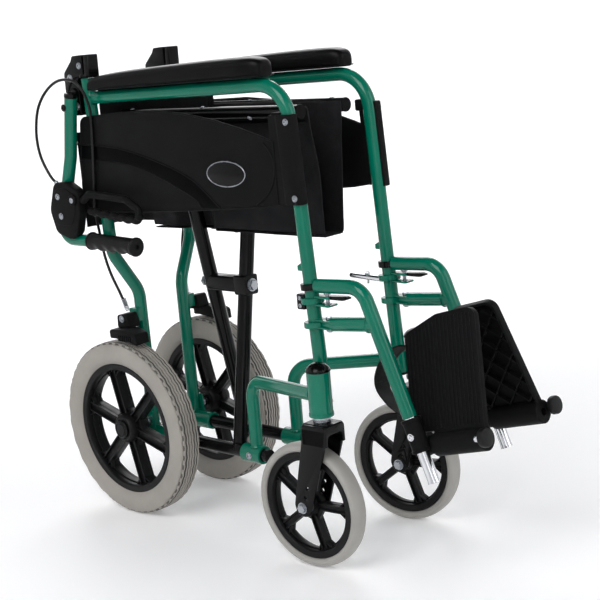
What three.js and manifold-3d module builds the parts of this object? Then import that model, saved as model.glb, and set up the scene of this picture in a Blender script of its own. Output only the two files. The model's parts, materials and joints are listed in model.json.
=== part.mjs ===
// A transport wheelchair, folded for carrying: two tubular side frames on an X-shaped cross
// brace, 12 inch rear wheels, 8 inch casters, swing-away footrests with flip-up plates,
// and an upper back that folds down behind the seat.
// Millimetres. +X is the chair's left, +Y its rear, +Z up. Every length below is measured
// from the ground under the rear axle, on the middle plane; the last lines move the chair so
// that its origin is under the middle of its box.

import * as THREE from "three";
import { mergeVertices } from "three/addons/utils/BufferGeometryUtils.js";
import Module from "manifold-3d";

const wasm = await Module();
wasm.setup();

// ---- Driving dimensions -------------------------------------------------------------------

const GAP = 0.3; // between pieces that touch
const RUNNING = 0.4; // radial clearance of a piece that turns
const BOX_MIDDLE = { x: -1.85, y: -307.05 }; // middle of the chair's box, seen from above

const TUBE = 11; // radius of the frame tube
const FRAME_X = 92; // side frame tubes, from the middle plane
const LOW_X = 50; // lower ends of the side frame, and the cross brace's lower tubes
const LOW_Z = 131;

const POST_LEAN = 0.057; // the front post leans back by this much of its height
const POST_FOOT_Y = -482; // where its line meets the ground
const POST_BOTTOM = 262;
const ARM_FRONT_Z = 746;
const ARM_REAR_Z = 735;
const REAR_POST_Y = 24;
const REAR_POST_TOP = 768;

const REAR_WHEEL = { x: 100, r: 156, width: 48, rimR: 117, sides: 32, turn: -0.26 };
const CASTER = { x: 118, y: -481, trail: 35, r: 100, width: 30, rimR: 85.6, sides: 24, turn: -0.35 };
const CASTER_YAW = { left: 0.11, right: 0.03 }; // radians, about +Z
const HOUSING = { r: 18.5, bottom: 247, top: 317, bore: 8.5 };

const LEG_LOWER = 282; // cross brace leg, lower tube to pivot
const LEG_UPPER = 296; // pivot to seat rail
const LEG_R = 12.5;
const LEG_Y = { right: -220, left: -138 }; // by the side of the leg's lower tube
const RAIL_FRONT = -430;
const RAIL_REAR = -12;

const BACK_X = 119; // folding back tubes, outboard of the rear posts
const BACK_HINGE = { y: 35, z: 745 };
const GRIP_R = 14.5;

const FOOT_LEAN = THREE.MathUtils.degToRad(21.5); // footrest tube, forward of straight down
const PLATE_RISE = THREE.MathUtils.degToRad(14); // footplate hinge, rising to the front
const PLATE_TILT = THREE.MathUtils.degToRad(15.5); // flipped-up plate, inboard of upright
const PLATE_HINGE = { x: 72, y: -664, z: 217 };
const PLATE_REACH = 190; // hinge line to the plate's inner edge
const HANGER_X = FRAME_X;

// ---- Worked out ---------------------------------------------------------------------------

const PIVOT_Z = LOW_Z + Math.sqrt(LEG_LOWER ** 2 - LOW_X ** 2);
const LEG_SLOPE = LOW_X / (PIVOT_Z - LOW_Z); // sideways per unit of height
const RAIL_X = (LEG_UPPER * LOW_X) / LEG_LOWER;
const RAIL_Z = PIVOT_Z + (LEG_UPPER * (PIVOT_Z - LOW_Z)) / LEG_LOWER;
const postY = (z) => POST_FOOT_Y + POST_LEAN * z;
const REAR_BEND = { y: 10, z: 466 }; // where the rear post turns inward
const REAR_LEAN = (REAR_POST_Y - REAR_BEND.y) / (REAR_POST_TOP - REAR_BEND.z);
const rearPostY = (z) => REAR_POST_Y - REAR_LEAN * (REAR_POST_TOP - z);

// ---- Materials ----------------------------------------------------------------------------

const paint = (color, roughness, metalness) =>
  new THREE.MeshStandardMaterial({ color, roughness, metalness });
const GREEN = paint(0x0a9c7c, 0.3, 0.1);
const BLACK_PAINT = paint(0x17171a, 0.4, 0.1);
const PLASTIC = paint(0x2b2b2e, 0.55, 0);
const RIM_PLASTIC = paint(0x1c1c1e, 0.45, 0);
const TYRE = paint(0xa9a49c, 0.8, 0);
const PAD = paint(0x2a2a2c, 0.6, 0);
const NYLON = paint(0x18181c, 0.85, 0);
const ZINC = paint(0xb9bcc0, 0.35, 1);
const CHROME = paint(0xd8dadc, 0.15, 1);

// ---- Geometry helpers ---------------------------------------------------------------------

const at = (x, y, z) => new THREE.Vector3(x, y, z);

// Straight runs between stations, with one step of an extrusion from each to the next.
class Stations extends THREE.Curve {
  constructor(points) {
    super();
    this.points = points;
  }
  getUtoTmapping(u) {
    return u;
  }
  getPoint(t, target = new THREE.Vector3()) {
    const run = t * (this.points.length - 1);
    const i = Math.min(Math.floor(run), this.points.length - 2);
    return target.copy(this.points[i]).lerp(this.points[i + 1], run - i);
  }
}

// Rounds each inner corner of a list of points with an arc of the given radius.
function bent(points, radius, steps = 4) {
  const out = [points[0]];
  for (let i = 1; i < points.length - 1; i++) {
    const before = points[i].clone().sub(points[i - 1]).normalize();
    const after = points[i + 1].clone().sub(points[i]).normalize();
    const turn = before.angleTo(after);
    const r = Array.isArray(radius) ? radius[i - 1] : radius;
    const side = after.clone().addScaledVector(before, -after.dot(before)).normalize();
    const start = points[i].clone().addScaledVector(before, -r * Math.tan(turn / 2));
    const centre = start.clone().addScaledVector(side, r);
    for (let k = 0; k <= steps; k++) {
      const a = (turn * k) / steps;
      out.push(
        centre.clone().addScaledVector(before, r * Math.sin(a)).addScaledVector(side, -r * Math.cos(a)),
      );
    }
  }
  out.push(points[points.length - 1]);
  return out;
}

function circle(radius, sides) {
  const corners = [];
  for (let i = 0; i < sides; i++) {
    const a = (2 * Math.PI * (i + 0.5)) / sides;
    corners.push(new THREE.Vector2(radius * Math.cos(a), radius * Math.sin(a)));
  }
  return new THREE.Shape(corners);
}

// A round bar or tube stood in for by its outer shape, through the stations.
function bar(points, radius, sides = 10) {
  return new THREE.ExtrudeGeometry(circle(radius, sides), {
    steps: points.length - 1,
    extrudePath: new Stations(points),
    bevelEnabled: false,
  });
}

// What a bar's hole is cut with: its flats, not its corners, are at the radius.
const hole = (points, radius, sides = 12) => bar(points, radius / Math.cos(Math.PI / sides), sides);

// A flat outline of [y, z] corners, from x0 to x1.
function plate(outline, x0, x1) {
  const shape = new THREE.Shape(outline.map(([y, z]) => new THREE.Vector2(y, z)));
  const geometry = new THREE.ExtrudeGeometry(shape, { depth: x1 - x0, bevelEnabled: false });
  const turn = new THREE.Matrix4().makeBasis(at(0, 1, 0), at(0, 0, 1), at(1, 0, 0));
  return geometry.applyMatrix4(turn).translate(x0, 0, 0);
}

function block(x0, x1, y0, y1, z0, z1) {
  return new THREE.BoxGeometry(x1 - x0, y1 - y0, z1 - z0).translate(
    (x0 + x1) / 2,
    (y0 + y1) / 2,
    (z0 + z1) / 2,
  );
}

// A turned solid of [radius, along] corners about the X or the Z axis, one flat at the bottom.
function turned(profile, axis, sides) {
  const corners = profile.map(([r, along]) => new THREE.Vector2(r, along));
  const geometry = new THREE.LatheGeometry(corners, sides, Math.PI / sides);
  return axis === "x" ? geometry.rotateZ(-Math.PI / 2) : geometry.rotateX(Math.PI / 2);
}

function solid(geometry) {
  const bare = new THREE.BufferGeometry();
  const source = geometry.index ? geometry.toNonIndexed() : geometry;
  bare.setAttribute("position", source.getAttribute("position"));
  const shared = mergeVertices(bare, 1e-3);
  const faces = [];
  const index = shared.index.array;
  for (let i = 0; i < index.length; i += 3) {
    const [a, b, c] = [index[i], index[i + 1], index[i + 2]];
    if (a !== b && b !== c && c !== a) faces.push(a, b, c);
  }
  const made = new wasm.Manifold(
    new wasm.Mesh({
      numProp: 3,
      vertProperties: new Float32Array(shared.attributes.position.array),
      triVerts: new Uint32Array(faces),
    }),
  );
  return made;
}

function surface(made) {
  const mesh = made.getMesh();
  const geometry = new THREE.BufferGeometry();
  geometry.setAttribute("position", new THREE.BufferAttribute(mesh.vertProperties, 3));
  geometry.setIndex(new THREE.BufferAttribute(mesh.triVerts, 1));
  return geometry;
}

const join = (...parts) => surface(parts.map(solid).reduce((a, b) => a.add(b)));
const cut = (body, ...tools) =>
  surface(tools.map(solid).reduce((a, b) => a.subtract(b), solid(body)));

function mesh(name, geometry, material) {
  const made = new THREE.Mesh(geometry, material);
  made.name = name;
  return made;
}

// ---- Side frame ---------------------------------------------------------------------------

// Front post and arm tube, one bent tube that butts on the rear post.
function armLine() {
  const corner = at(FRAME_X, postY(ARM_FRONT_Z), ARM_FRONT_Z);
  const rear = at(FRAME_X, rearPostY(ARM_REAR_Z - TUBE) - TUBE - 2 * GAP, ARM_REAR_Z);
  return bent([at(FRAME_X, postY(POST_BOTTOM), POST_BOTTOM), corner, rear], 58);
}

const armFrame = () => bar(armLine(), TUBE);

// A collar round the cross brace's lower tube, from y0 to y1.
function collar(y0, y1) {
  return bar([at(LOW_X, y0, LOW_Z), at(LOW_X, y1, LOW_Z)], TUBE + 4.5, 12);
}

const collarBore = () => hole([at(LOW_X, -400, LOW_Z), at(LOW_X, 100, LOW_Z)], TUBE + RUNNING);

// Rear post with its inward bend, the rear collar and the lug that carries the brake.
function rearPost() {
  const line = [
    at(FRAME_X, REAR_POST_Y, REAR_POST_TOP),
    at(FRAME_X, REAR_BEND.y, REAR_BEND.z),
    at(LOW_X, 0, 392),
    at(LOW_X, 0, LOW_Z + 8),
  ];
  const lug = block(LOW_X, LOW_X + 20, -9, 9, 340, 364);
  return cut(join(bar(bent(line, 55, 3), TUBE), collar(-50, 12), lug), collarBore());
}

// Caster housing with its cap, the tube that runs back and in to the front collar.
function frontLeg() {
  const { r, bottom, top, bore } = HOUSING;
  const profile = [
    [0, bottom],
    [r, bottom],
    [r, top],
    [15.5, top + 5],
    [10, top + 11],
    [0, top + 14],
  ];
  const housing = turned(profile, "z", 14).translate(CASTER.x, CASTER.y, 0);
  const line = [
    at(CASTER.x, CASTER.y + 14, 279),
    at(LOW_X, -263, 259),
    at(LOW_X, -262, LOW_Z + 8),
  ];
  const axis = [at(CASTER.x, CASTER.y, bottom - 5), at(CASTER.x, CASTER.y, top - 4)];
  const leg = join(housing, bar(bent(line, 38), TUBE), collar(-278, -234));
  return cut(leg, hole(axis, bore), collarBore());
}

// ---- Wheels -------------------------------------------------------------------------------

// A tyre whose tread has flats, one of them at the bottom, r below the axle.
function tyre({ r, width, rimR, sides }) {
  const tread = r / Math.cos(Math.PI / sides);
  const half = width / 2;
  const profile = [
    [rimR + GAP, -half * 0.7],
    [tread - (tread - rimR) * 0.45, -half],
    [tread - 4, -half * 0.75],
    [tread, -half * 0.36],
  ];
  const other = profile.map(([radius, x]) => [radius, -x]).reverse();
  return turned([...profile, ...other, profile[0]], "x", sides);
}

// A moulded rim: a ring, a spoked disc and a hub, bored for the axle. Its spokes stand at turn.
function rim({ rimR, width, sides, turn }, spokes, spokeHalf, hub, bore) {
  const half = width * 0.36;
  const inner = rimR - 12;
  const ring = turned(
    [
      [inner, -half],
      [rimR, -half],
      [rimR, half],
      [inner, half],
      [inner, -half],
    ],
    "x",
    sides,
  );
  const disc = circle(inner + 4, sides);
  for (let k = 0; k < spokes; k++) {
    const middle = (2 * Math.PI * (k + 0.5)) / spokes + turn;
    const corners = [];
    for (const [radius, count, way] of [[hub.r + 9, 2, 1], [inner - 3, 5, -1]]) {
      const reach = Math.PI / spokes - Math.asin(spokeHalf / radius);
      for (let i = 0; i < count; i++) {
        const a = middle + way * reach * (1 - (2 * i) / (count - 1));
        corners.push(new THREE.Vector2(radius * Math.cos(a), radius * Math.sin(a)));
      }
    }
    disc.holes.push(new THREE.Path(corners));
  }
  const web = new THREE.ExtrudeGeometry(disc, { depth: half, bevelEnabled: false });
  web.translate(0, 0, -half / 2).rotateY(Math.PI / 2);
  const boss = turned([[0, -hub.half], [hub.r, -hub.half], [hub.r, hub.half], [0, hub.half]], "x", 16);
  return cut(join(ring, web, boss), hole([at(-60, 0, 0), at(60, 0, 0)], bore));
}

function rearWheel(side) {
  const wheel = new THREE.Group();
  wheel.position.set(REAR_WHEEL.x, 0, REAR_WHEEL.r);
  wheel.add(mesh("rear_tyre_" + side, tyre(REAR_WHEEL), TYRE));
  const hub = { r: 25, half: 22 };
  wheel.add(mesh("rear_rim_" + side, rim(REAR_WHEEL, 6, 9, hub, 6 + RUNNING), RIM_PLASTIC));
  return wheel;
}

// Stub axle on the rear post, with the nut and washer outboard of the hub.
function rearAxle() {
  const start = LOW_X + TUBE + GAP;
  const hubEnd = REAR_WHEEL.x + 22;
  const shaft = bar([at(start, 0, 0), at(hubEnd + 4, 0, 0)], 6, 12);
  const shoulder = bar([at(start, 0, 0), at(REAR_WHEEL.x - 22 - GAP, 0, 0)], 10, 12);
  const nut = bar([at(hubEnd + GAP, 0, 0), at(hubEnd + 7, 0, 0)], 9, 6);
  return join(shaft, shoulder, nut).translate(0, 0, REAR_WHEEL.r);
}

// ---- Caster -------------------------------------------------------------------------------

// Fork with its stem, in the caster's own frame: the stem's axis is X = Y = 0.
function casterFork() {
  const inside = CASTER.width / 2 + 3;
  const crownZ = 231;
  const leg = [
    [-25, crownZ + 6],
    [25, crownZ + 6],
    [27, 205],
    [CASTER.trail + 16, CASTER.r + 4],
    [CASTER.trail + 12, CASTER.r - 12],
    [CASTER.trail - 8, CASTER.r - 15],
    [CASTER.trail - 18, CASTER.r - 2],
    [-18, 200],
  ];
  const axleHole = hole([at(-60, CASTER.trail, CASTER.r), at(60, CASTER.trail, CASTER.r)], 4.3);
  const crown = block(-inside - 5, inside + 5, -25, 25, 205, crownZ + 6);
  const arch = block(-inside, inside, -40, 60, 195, 222);
  const race = bar([at(0, 0, crownZ), at(0, 0, HOUSING.bottom - GAP)], 14, 12);
  const stem = bar([at(0, 0, crownZ), at(0, 0, HOUSING.top - 8)], HOUSING.bore - RUNNING, 12);
  const legs = [plate(leg, inside, inside + 5), plate(leg, -inside - 5, -inside)];
  return cut(join(...legs, crown, race, stem), arch, axleHole);
}

function casterAxle() {
  const legFace = CASTER.width / 2 + 8;
  const ends = (x) => at(x, CASTER.trail, CASTER.r);
  const shaft = bar([ends(-legFace - 3), ends(legFace + 3)], 4, 10);
  const head = bar([ends(legFace + GAP), ends(legFace + 5)], 8, 6);
  const nut = bar([ends(-legFace - 5), ends(-legFace - GAP)], 8, 6);
  return join(shaft, head, nut);
}

// The fork, its wheel and its axle, turned by yaw about the stem.
function caster(side, yaw) {
  const swivel = new THREE.Group();
  swivel.position.set(CASTER.x, CASTER.y, 0);
  swivel.rotation.z = yaw;
  swivel.add(mesh("caster_fork_" + side, casterFork(), BLACK_PAINT));
  swivel.add(mesh("caster_axle_" + side, casterAxle(), ZINC));
  const wheel = new THREE.Group();
  wheel.position.set(0, CASTER.trail, CASTER.r);
  const hub = { r: 17, half: CASTER.width / 2 + 2 };
  wheel.add(mesh("caster_tyre_" + side, tyre(CASTER), TYRE));
  wheel.add(mesh("caster_rim_" + side, rim(CASTER, 5, 6.5, hub, 4 + RUNNING), RIM_PLASTIC));
  swivel.add(wheel);
  return swivel;
}

// ---- Skirt guard and armrest --------------------------------------------------------------

// Moulded side panel with an arched top, clipped round the front post.
function skirtGuard() {
  const inner = FRAME_X + TUBE + GAP;
  const outline = [
    [36, 702],
    [-60, 709],
    [-155, 711],
    [-220, 706],
    [-290, 695],
    [-350, 681],
    [-395, 668],
    [-418, 661],
    [-418, 566],
    [-385, 562],
    [-255, 553],
    [-110, 546],
    [30, 541],
    [42, 552],
    [52, 580],
  ];
  const panel = plate(outline, inner, inner + 4);
  const front = (z) => postY(z) - 17;
  const clip = plate(
    [
      [-416, 568],
      [-416, 700],
      [front(700), 700],
      [front(566), 566],
    ],
    FRAME_X - 14,
    inner + 4,
  );
  return cut(join(panel, clip), hole(armLine(), TUBE + GAP, 10));
}

// Padded armrest on top of the arm tube.
function armrestPad() {
  const rise = (ARM_FRONT_Z - ARM_REAR_Z) / (REAR_POST_Y - postY(ARM_FRONT_Z));
  const under = (y) => ARM_REAR_Z + (REAR_POST_Y - y) * rise + TUBE + GAP;
  const outline = [
    [-2, under(-2)],
    [0, under(0) + 12],
    [-14, 768],
    [-90, 777],
    [-220, 784],
    [-350, 788],
    [-392, 784],
    [-404, 773],
    [-402, under(-402) + 1],
  ];
  return plate(outline, FRAME_X - 25, FRAME_X + 25);
}

// ---- Folding back -------------------------------------------------------------------------

// Hinge bracket on the rear post's top: a slotted socket for the raised tube, and a cheek
// behind the post that carries the hinge.
function hingeBracket() {
  const base = REAR_POST_TOP + 3 * GAP;
  const behind = REAR_POST_Y + TUBE + 1.5;
  const outline = [
    [5, base],
    [4, 808],
    [14, 808],
    [16, base + 6],
    [20, base + 6],
    [20, 808],
    [46, 807],
    [47, 800],
    [72, 779],
    [74, 706],
    [behind, 706],
    [behind, base],
  ];
  const cheek = plate(outline, FRAME_X - 12, FRAME_X + 12);
  const bossAt = (x) => at(x, BACK_HINGE.y + 14, BACK_HINGE.z);
  const boss = bar([bossAt(FRAME_X + 10), bossAt(BACK_X - TUBE - GAP)], 8, 10);
  return join(cheek, boss);
}

function backLine() {
  return bent(
    [at(BACK_X, 40, 742), at(BACK_X, 60, 636), at(BACK_X, 112, 492), at(BACK_X, 30, 491.5)],
    [60, 26],
    5,
  );
}

const gripEnds = () => [at(BACK_X, 29, 491.4), at(BACK_X, -91, 486.5)];

// Brake lever's bracket, clamped round the bend of the back tube.
function brakeHousing() {
  const outline = [
    [92, 590],
    [62, 592],
    [30, 577],
    [34, 540],
    [50, 512],
    [104, 514],
    [112, 545],
  ];
  const body = plate(outline, BACK_X + 1, BACK_X + 19);
  return cut(body, hole(backLine(), TUBE + GAP, 10));
}

// Brake lever: a bar that runs along under the raised grip and turns back on itself.
function brakeLever() {
  const x = BACK_X + 10;
  const line = [
    at(x, 27.5, 563),
    at(x, 8, 575),
    at(x, -86, 569),
    at(x, -120, 552),
    at(x, -114, 533),
    at(x, -60, 538),
    at(x, 10, 546),
  ];
  return bar(bent(line, [10, 20, 9, 7, 20], 2), 4.5, 8);
}

// The cable's run at rest: out of the brake's bracket, over the hinge, down behind the post.
const CABLE_RUN = [
  [BACK_X + 10, 95, 592],
  [BACK_X + 10, 112, 606],
  [BACK_X + 11, 131, 640],
  [BACK_X + 11, 135, 680],
  [BACK_X + 9, 124, 722],
  [BACK_X + 6, 98, 752],
  [BACK_X + 5, 62, 768],
  [BACK_X + 4, 24, 766],
  [BACK_X, 6, 748],
  [BACK_X - 6, 2, 722],
  [FRAME_X + 18, 4, 690],
  [FRAME_X + 19, 8, 640],
  [FRAME_X + 19, 14, 590],
  [FRAME_X + 19, 20, 545],
  [FRAME_X + 8, 28, 500],
  [FRAME_X, 32, 460],
  [FRAME_X - 8, 30, 425],
  [FRAME_X - 16, 22, 392],
  [FRAME_X - 20, 14, 366],
];

// Brake shoe over the tyre on an arm that turns on the rear post's lug.
function brakeShoe() {
  const lugFace = LOW_X + 20 + GAP;
  const shoe = [
    [22, 318],
    [24, 338],
    [-30, 340],
    [-54, 330],
    [-56, 311],
    [-30, 316],
    [0, 319],
  ];
  const arm = [
    [14, 332],
    [12, 356],
    [-12, 360],
    [-20, 334],
  ];
  return join(plate(shoe, REAR_WHEEL.x - 15, REAR_WHEEL.x + 15), plate(arm, lugFace, 96));
}

// ---- Footrest -----------------------------------------------------------------------------

const footDown = at(0, -Math.sin(FOOT_LEAN), -Math.cos(FOOT_LEAN));
const HANGER_CORNER = at(HANGER_X, -558, 446);
const along = (distance) => HANGER_CORNER.clone().addScaledVector(footDown, distance);
const HANGER_END = 202; // along the sloping tube, from its corner
const STEM_END = 302;

// Swing-away hanger: an upper and a lower tube with rings that turn on the front post.
function hanger() {
  const top = bar(bent([at(HANGER_X, -470, 442), HANGER_CORNER, along(HANGER_END)], 34), TUBE);
  const lower = bar([at(HANGER_X, -478, 384), along(58)], TUBE);
  const neck = block(HANGER_X - 12, HANGER_X + 12, -480, -466, 380, 386);
  const turnAxis = (z) => at(HANGER_X, postY(z), z);
  const rings = [[378, 387], [415, 424]].map(([z0, z1]) =>
    bar([turnAxis(z0), turnAxis(z1)], TUBE + 7, 12),
  );
  const web = block(HANGER_X - 8, HANGER_X + 8, -496, -466, 416, 434);
  const bore = hole([turnAxis(300), turnAxis(500)], TUBE + RUNNING);
  return cut(join(top, lower, neck, ...rings, web), bore);
}

// Release lever under the hanger's upper tube.
function hangerLatch() {
  const outline = [
    [-498, 424],
    [-498, 429],
    [-524, 430],
    [-536, 427],
    [-524, 424],
  ];
  return plate(outline, HANGER_X - 7, HANGER_X + 7);
}

function footStem() {
  return bar([along(HANGER_END + GAP), along(STEM_END)], 9, 12);
}

// Casting clamped on the stem, with the pin that the footplate turns on.
// Pin and barrel lie along the plate's hinge line.
const hingeWay = at(0, -Math.cos(PLATE_RISE), Math.sin(PLATE_RISE));
const onHinge = (distance) =>
  at(PLATE_HINGE.x, PLATE_HINGE.y, PLATE_HINGE.z).addScaledVector(hingeWay, distance);

function footHinge() {
  const collarBar = bar([along(HANGER_END + 2), along(HANGER_END + 52)], 14, 12);
  const lug = bar([onHinge(-26), onHinge(-GAP)], 14, 12);
  const arm = block(PLATE_HINGE.x, HANGER_X, -655, -634, 201, 225);
  const pin = bar([onHinge(-10), onHinge(70)], 6, 10);
  const bore = hole([along(0), along(STEM_END + 20)], 9 + GAP);
  return cut(join(collarBar, lug, arm, pin), bore);
}

// A footplate's own frame: x along the hinge to the front, y across the plate from the
// hinge to its free edge, z out of its underside.
function plateFrame() {
  const up = at(0, Math.sin(PLATE_RISE), Math.cos(PLATE_RISE));
  const across = up.multiplyScalar(Math.cos(PLATE_TILT)).add(at(-Math.sin(PLATE_TILT), 0, 0));
  const underside = new THREE.Vector3().crossVectors(hingeWay, across);
  const frame = new THREE.Group();
  frame.matrix.makeBasis(hingeWay, across, underside);
  frame.matrix.setPosition(PLATE_HINGE.x, PLATE_HINGE.y, PLATE_HINGE.z);
  frame.matrix.decompose(frame.position, frame.quaternion, frame.scale);
  return frame;
}

// Ribbed plate, its hinge barrel, and the stop knob on the barrel's front.
function footplate() {
  const sheet = new THREE.Shape();
  sheet.moveTo(-42, 19);
  sheet.lineTo(0, 19);
  sheet.lineTo(0, 8);
  sheet.lineTo(92, 8);
  sheet.lineTo(92, PLATE_REACH - 14);
  sheet.quadraticCurveTo(91, PLATE_REACH, 78, PLATE_REACH);
  sheet.lineTo(20, PLATE_REACH - 2);
  sheet.lineTo(-34, PLATE_REACH - 20);
  sheet.quadraticCurveTo(-42, PLATE_REACH - 24, -42, PLATE_REACH - 36);
  sheet.closePath();
  const board = new THREE.ExtrudeGeometry(sheet, { depth: 13, bevelEnabled: false, curveSegments: 3 });
  board.translate(0, 0, -7);
  const barrel = bar([at(0, 0, 0), at(92, 0, 0)], 18, 12);
  const boss = bar([at(80, 0, -14), at(97, 0, -17)], 6, 8);
  const knob = bar([at(96, 0, -17), at(107, 0, -17)], 14, 12);
  const bore = hole([at(-5, 0, 0), at(74, 0, 0)], 6 + RUNNING);
  return cut(join(board, barrel, boss, knob), bore);
}

// Heel loop: webbing from the plate's free rear corner round behind the heel.
function heelStrap() {
  const route = [
    [-44.6, 150],
    [-66, 146],
    [-98, 112],
    [-98, 92],
    [-66, 56],
    [-44.6, 44],
  ];
  const back = route.map(([a, u]) => [a + 2.2, u]).reverse();
  const shape = new THREE.Shape([...route, ...back].map(([a, u]) => new THREE.Vector2(a, u)));
  const band = new THREE.ExtrudeGeometry(shape, { depth: 32, bevelEnabled: false });
  return band.translate(0, 0, -17);
}

// ---- Cross brace --------------------------------------------------------------------------

// One member: lower tube on this side, leg, and the seat rail on the other side.
// It is drawn for the lower tube at +X; pivotParts are the bracket at its pivot.
function crossMember(legY, pivotParts) {
  const lower = bar([at(LOW_X, -292, LOW_Z), at(LOW_X, 14, LOW_Z)], TUBE);
  const rail = bar([at(-RAIL_X, RAIL_FRONT, RAIL_Z), at(-RAIL_X, RAIL_REAR, RAIL_Z)], TUBE);
  const leg = bar([at(LOW_X, legY, LOW_Z), at(-RAIL_X, legY, RAIL_Z)], LEG_R, 12);
  const bore = hole([at(0, -400, PIVOT_Z), at(0, 0, PIVOT_Z)], 5 + RUNNING);
  return cut(join(lower, rail, leg, ...pivotParts), bore);
}

const frontBracket = () => [
  block(-15, 15, LEG_Y.right - 14, LEG_Y.right + 14, PIVOT_Z - 17, PIVOT_Z + 17),
];
const rearBracket = () => [
  block(-13, 13, LEG_Y.right + 14 + GAP, LEG_Y.left, PIVOT_Z - 13, PIVOT_Z + 13),
];

function pivotBolt() {
  const run = (y) => at(0, y, PIVOT_Z);
  const shaft = bar([run(LEG_Y.right - 17), run(LEG_Y.left + 19)], 5, 10);
  const head = bar([run(LEG_Y.right - 22), run(LEG_Y.right - 14 - GAP)], 9, 6);
  const nut = bar([run(LEG_Y.left + LEG_R + GAP), run(LEG_Y.left + 20)], 9, 6);
  return join(shaft, head, nut);
}

// ---- Seat and back upholstery -------------------------------------------------------------

const SLING_BOTTOM = 504;
const SLING_HALF = 20; // half the width of the fold's floor
const SLING_REAR = -30;

// Where the other member's leg passes the fold, a notch keeps the cloth clear of it.
function legNotch(side) {
  const y = side > 0 ? LEG_Y.right : LEG_Y.left;
  const reach = LEG_R + 3;
  const x0 = side > 0 ? 2.5 : -60;
  return block(x0, x0 + 57.5, y - reach, y + reach, SLING_BOTTOM - 10, RAIL_Z + 3);
}

// One wall of the hanging seat sling, drawn for the left rail.
function slingWall(notch) {
  const inside = RAIL_X - TUBE - GAP;
  const shape = new THREE.Shape();
  shape.moveTo(inside, RAIL_Z + 8);
  shape.lineTo(inside - 4, RAIL_Z + 8);
  shape.lineTo(SLING_HALF, SLING_BOTTOM);
  shape.lineTo(SLING_HALF + 4, SLING_BOTTOM);
  const depth = SLING_REAR - RAIL_FRONT;
  const wall = new THREE.ExtrudeGeometry(shape, { depth, bevelEnabled: false });
  return cut(wall.rotateX(Math.PI / 2).translate(0, SLING_REAR, 0), notch);
}

function slingFloor() {
  const half = SLING_HALF + 3;
  const floor = block(-half, half, RAIL_FRONT, SLING_REAR, SLING_BOTTOM - 4, SLING_BOTTOM - GAP);
  return cut(floor, legNotch(1), legNotch(-1));
}

// A folded panel of the back: cloth standing on a route of [x, y] corners.
function foldedPanel(route, thickness, z0, z1) {
  const other = route.map(([x, y], i) => {
    const last = i === route.length - 1;
    const [x1, y1] = last ? route[i - 1] : [x, y];
    const [x2, y2] = last ? [x, y] : route[i + 1];
    const length = Math.hypot(x2 - x1, y2 - y1);
    return [x + (thickness * (y2 - y1)) / length, y - (thickness * (x2 - x1)) / length];
  });
  const shape = new THREE.Shape(
    [...route, ...other.reverse()].map(([x, y]) => new THREE.Vector2(x, y)),
  );
  const made = new THREE.ExtrudeGeometry(shape, { depth: z1 - z0, bevelEnabled: false });
  return made.translate(0, 0, z0);
}

// Each back panel goes in behind a rear post, turns a corner and runs forward to the seam.
const BACK_LOWER_ROUTE = [[80, 16], [23, -2], [6, -184]];
const BACK_UPPER_ROUTE = [[104, 57], [18, 40], [2.6, -138]];

// ---- The two sides ------------------------------------------------------------------------

// Everything on one side, drawn at +X; the right side is its mirror image.
function sideParts(side, casterYaw) {
  const group = new THREE.Group();
  const add = (name, geometry, material) => group.add(mesh(name + "_" + side, geometry, material));
  add("arm_frame", armFrame(), GREEN);
  add("rear_post", rearPost(), GREEN);
  add("front_leg", frontLeg(), GREEN);
  add("rear_axle", rearAxle(), ZINC);
  group.add(rearWheel(side));
  group.add(caster(side, casterYaw));
  add("skirt_guard", skirtGuard(), PLASTIC);
  add("armrest_pad", armrestPad(), PAD);
  add("hinge_bracket", hingeBracket(), BLACK_PAINT);
  add("back_tube", bar(backLine(), TUBE), GREEN);
  add("push_grip", bar(gripEnds(), GRIP_R, 14), PLASTIC);
  add("brake_housing", brakeHousing(), PLASTIC);
  add("brake_lever", brakeLever(), BLACK_PAINT);
  add("brake_cable", bar(CABLE_RUN.map(([x, y, z]) => at(x, y, z)), 2.5, 8), PLASTIC);
  add("brake_shoe", brakeShoe(), PLASTIC);
  add("hanger", hanger(), GREEN);
  add("hanger_latch", hangerLatch(), PLASTIC);
  add("foot_stem", footStem(), CHROME);
  add("foot_hinge", footHinge(), PLASTIC);
  const board = plateFrame();
  board.add(mesh("footplate_" + side, footplate(), PLASTIC));
  board.add(mesh("heel_strap_" + side, heelStrap(), NYLON));
  group.add(board);
  add("back_lower", foldedPanel(BACK_LOWER_ROUTE, 3, 560, 762), NYLON);
  add("back_upper", foldedPanel(BACK_UPPER_ROUTE, 2.2, 512, 702), NYLON);
  return group;
}

const chair = new THREE.Group();
chair.add(sideParts("left", CASTER_YAW.left));
const rightSide = sideParts("right", -CASTER_YAW.right);
rightSide.scale.x = -1;
chair.add(rightSide);

const rightMember = new THREE.Group();
rightMember.scale.x = -1;
rightMember.add(mesh("cross_member_right", crossMember(LEG_Y.right, frontBracket()), BLACK_PAINT));
chair.add(rightMember);
chair.add(mesh("cross_member_left", crossMember(LEG_Y.left, rearBracket()), BLACK_PAINT));
chair.add(mesh("pivot_bolt", pivotBolt(), ZINC));

chair.add(mesh("seat_left", slingWall(legNotch(1)), NYLON));
const rightWall = new THREE.Group();
rightWall.scale.x = -1;
const mirroredNotch = legNotch(-1).applyMatrix4(new THREE.Matrix4().makeRotationZ(Math.PI));
mirroredNotch.translate(0, 2 * LEG_Y.left, 0);
rightWall.add(mesh("seat_right", slingWall(mirroredNotch), NYLON));
chair.add(rightWall);
chair.add(mesh("seat_centre", slingFloor(), NYLON));

chair.position.set(-BOX_MIDDLE.x, -BOX_MIDDLE.y, 0);

const part = new THREE.Group();
part.add(chair);
export default part;
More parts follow.
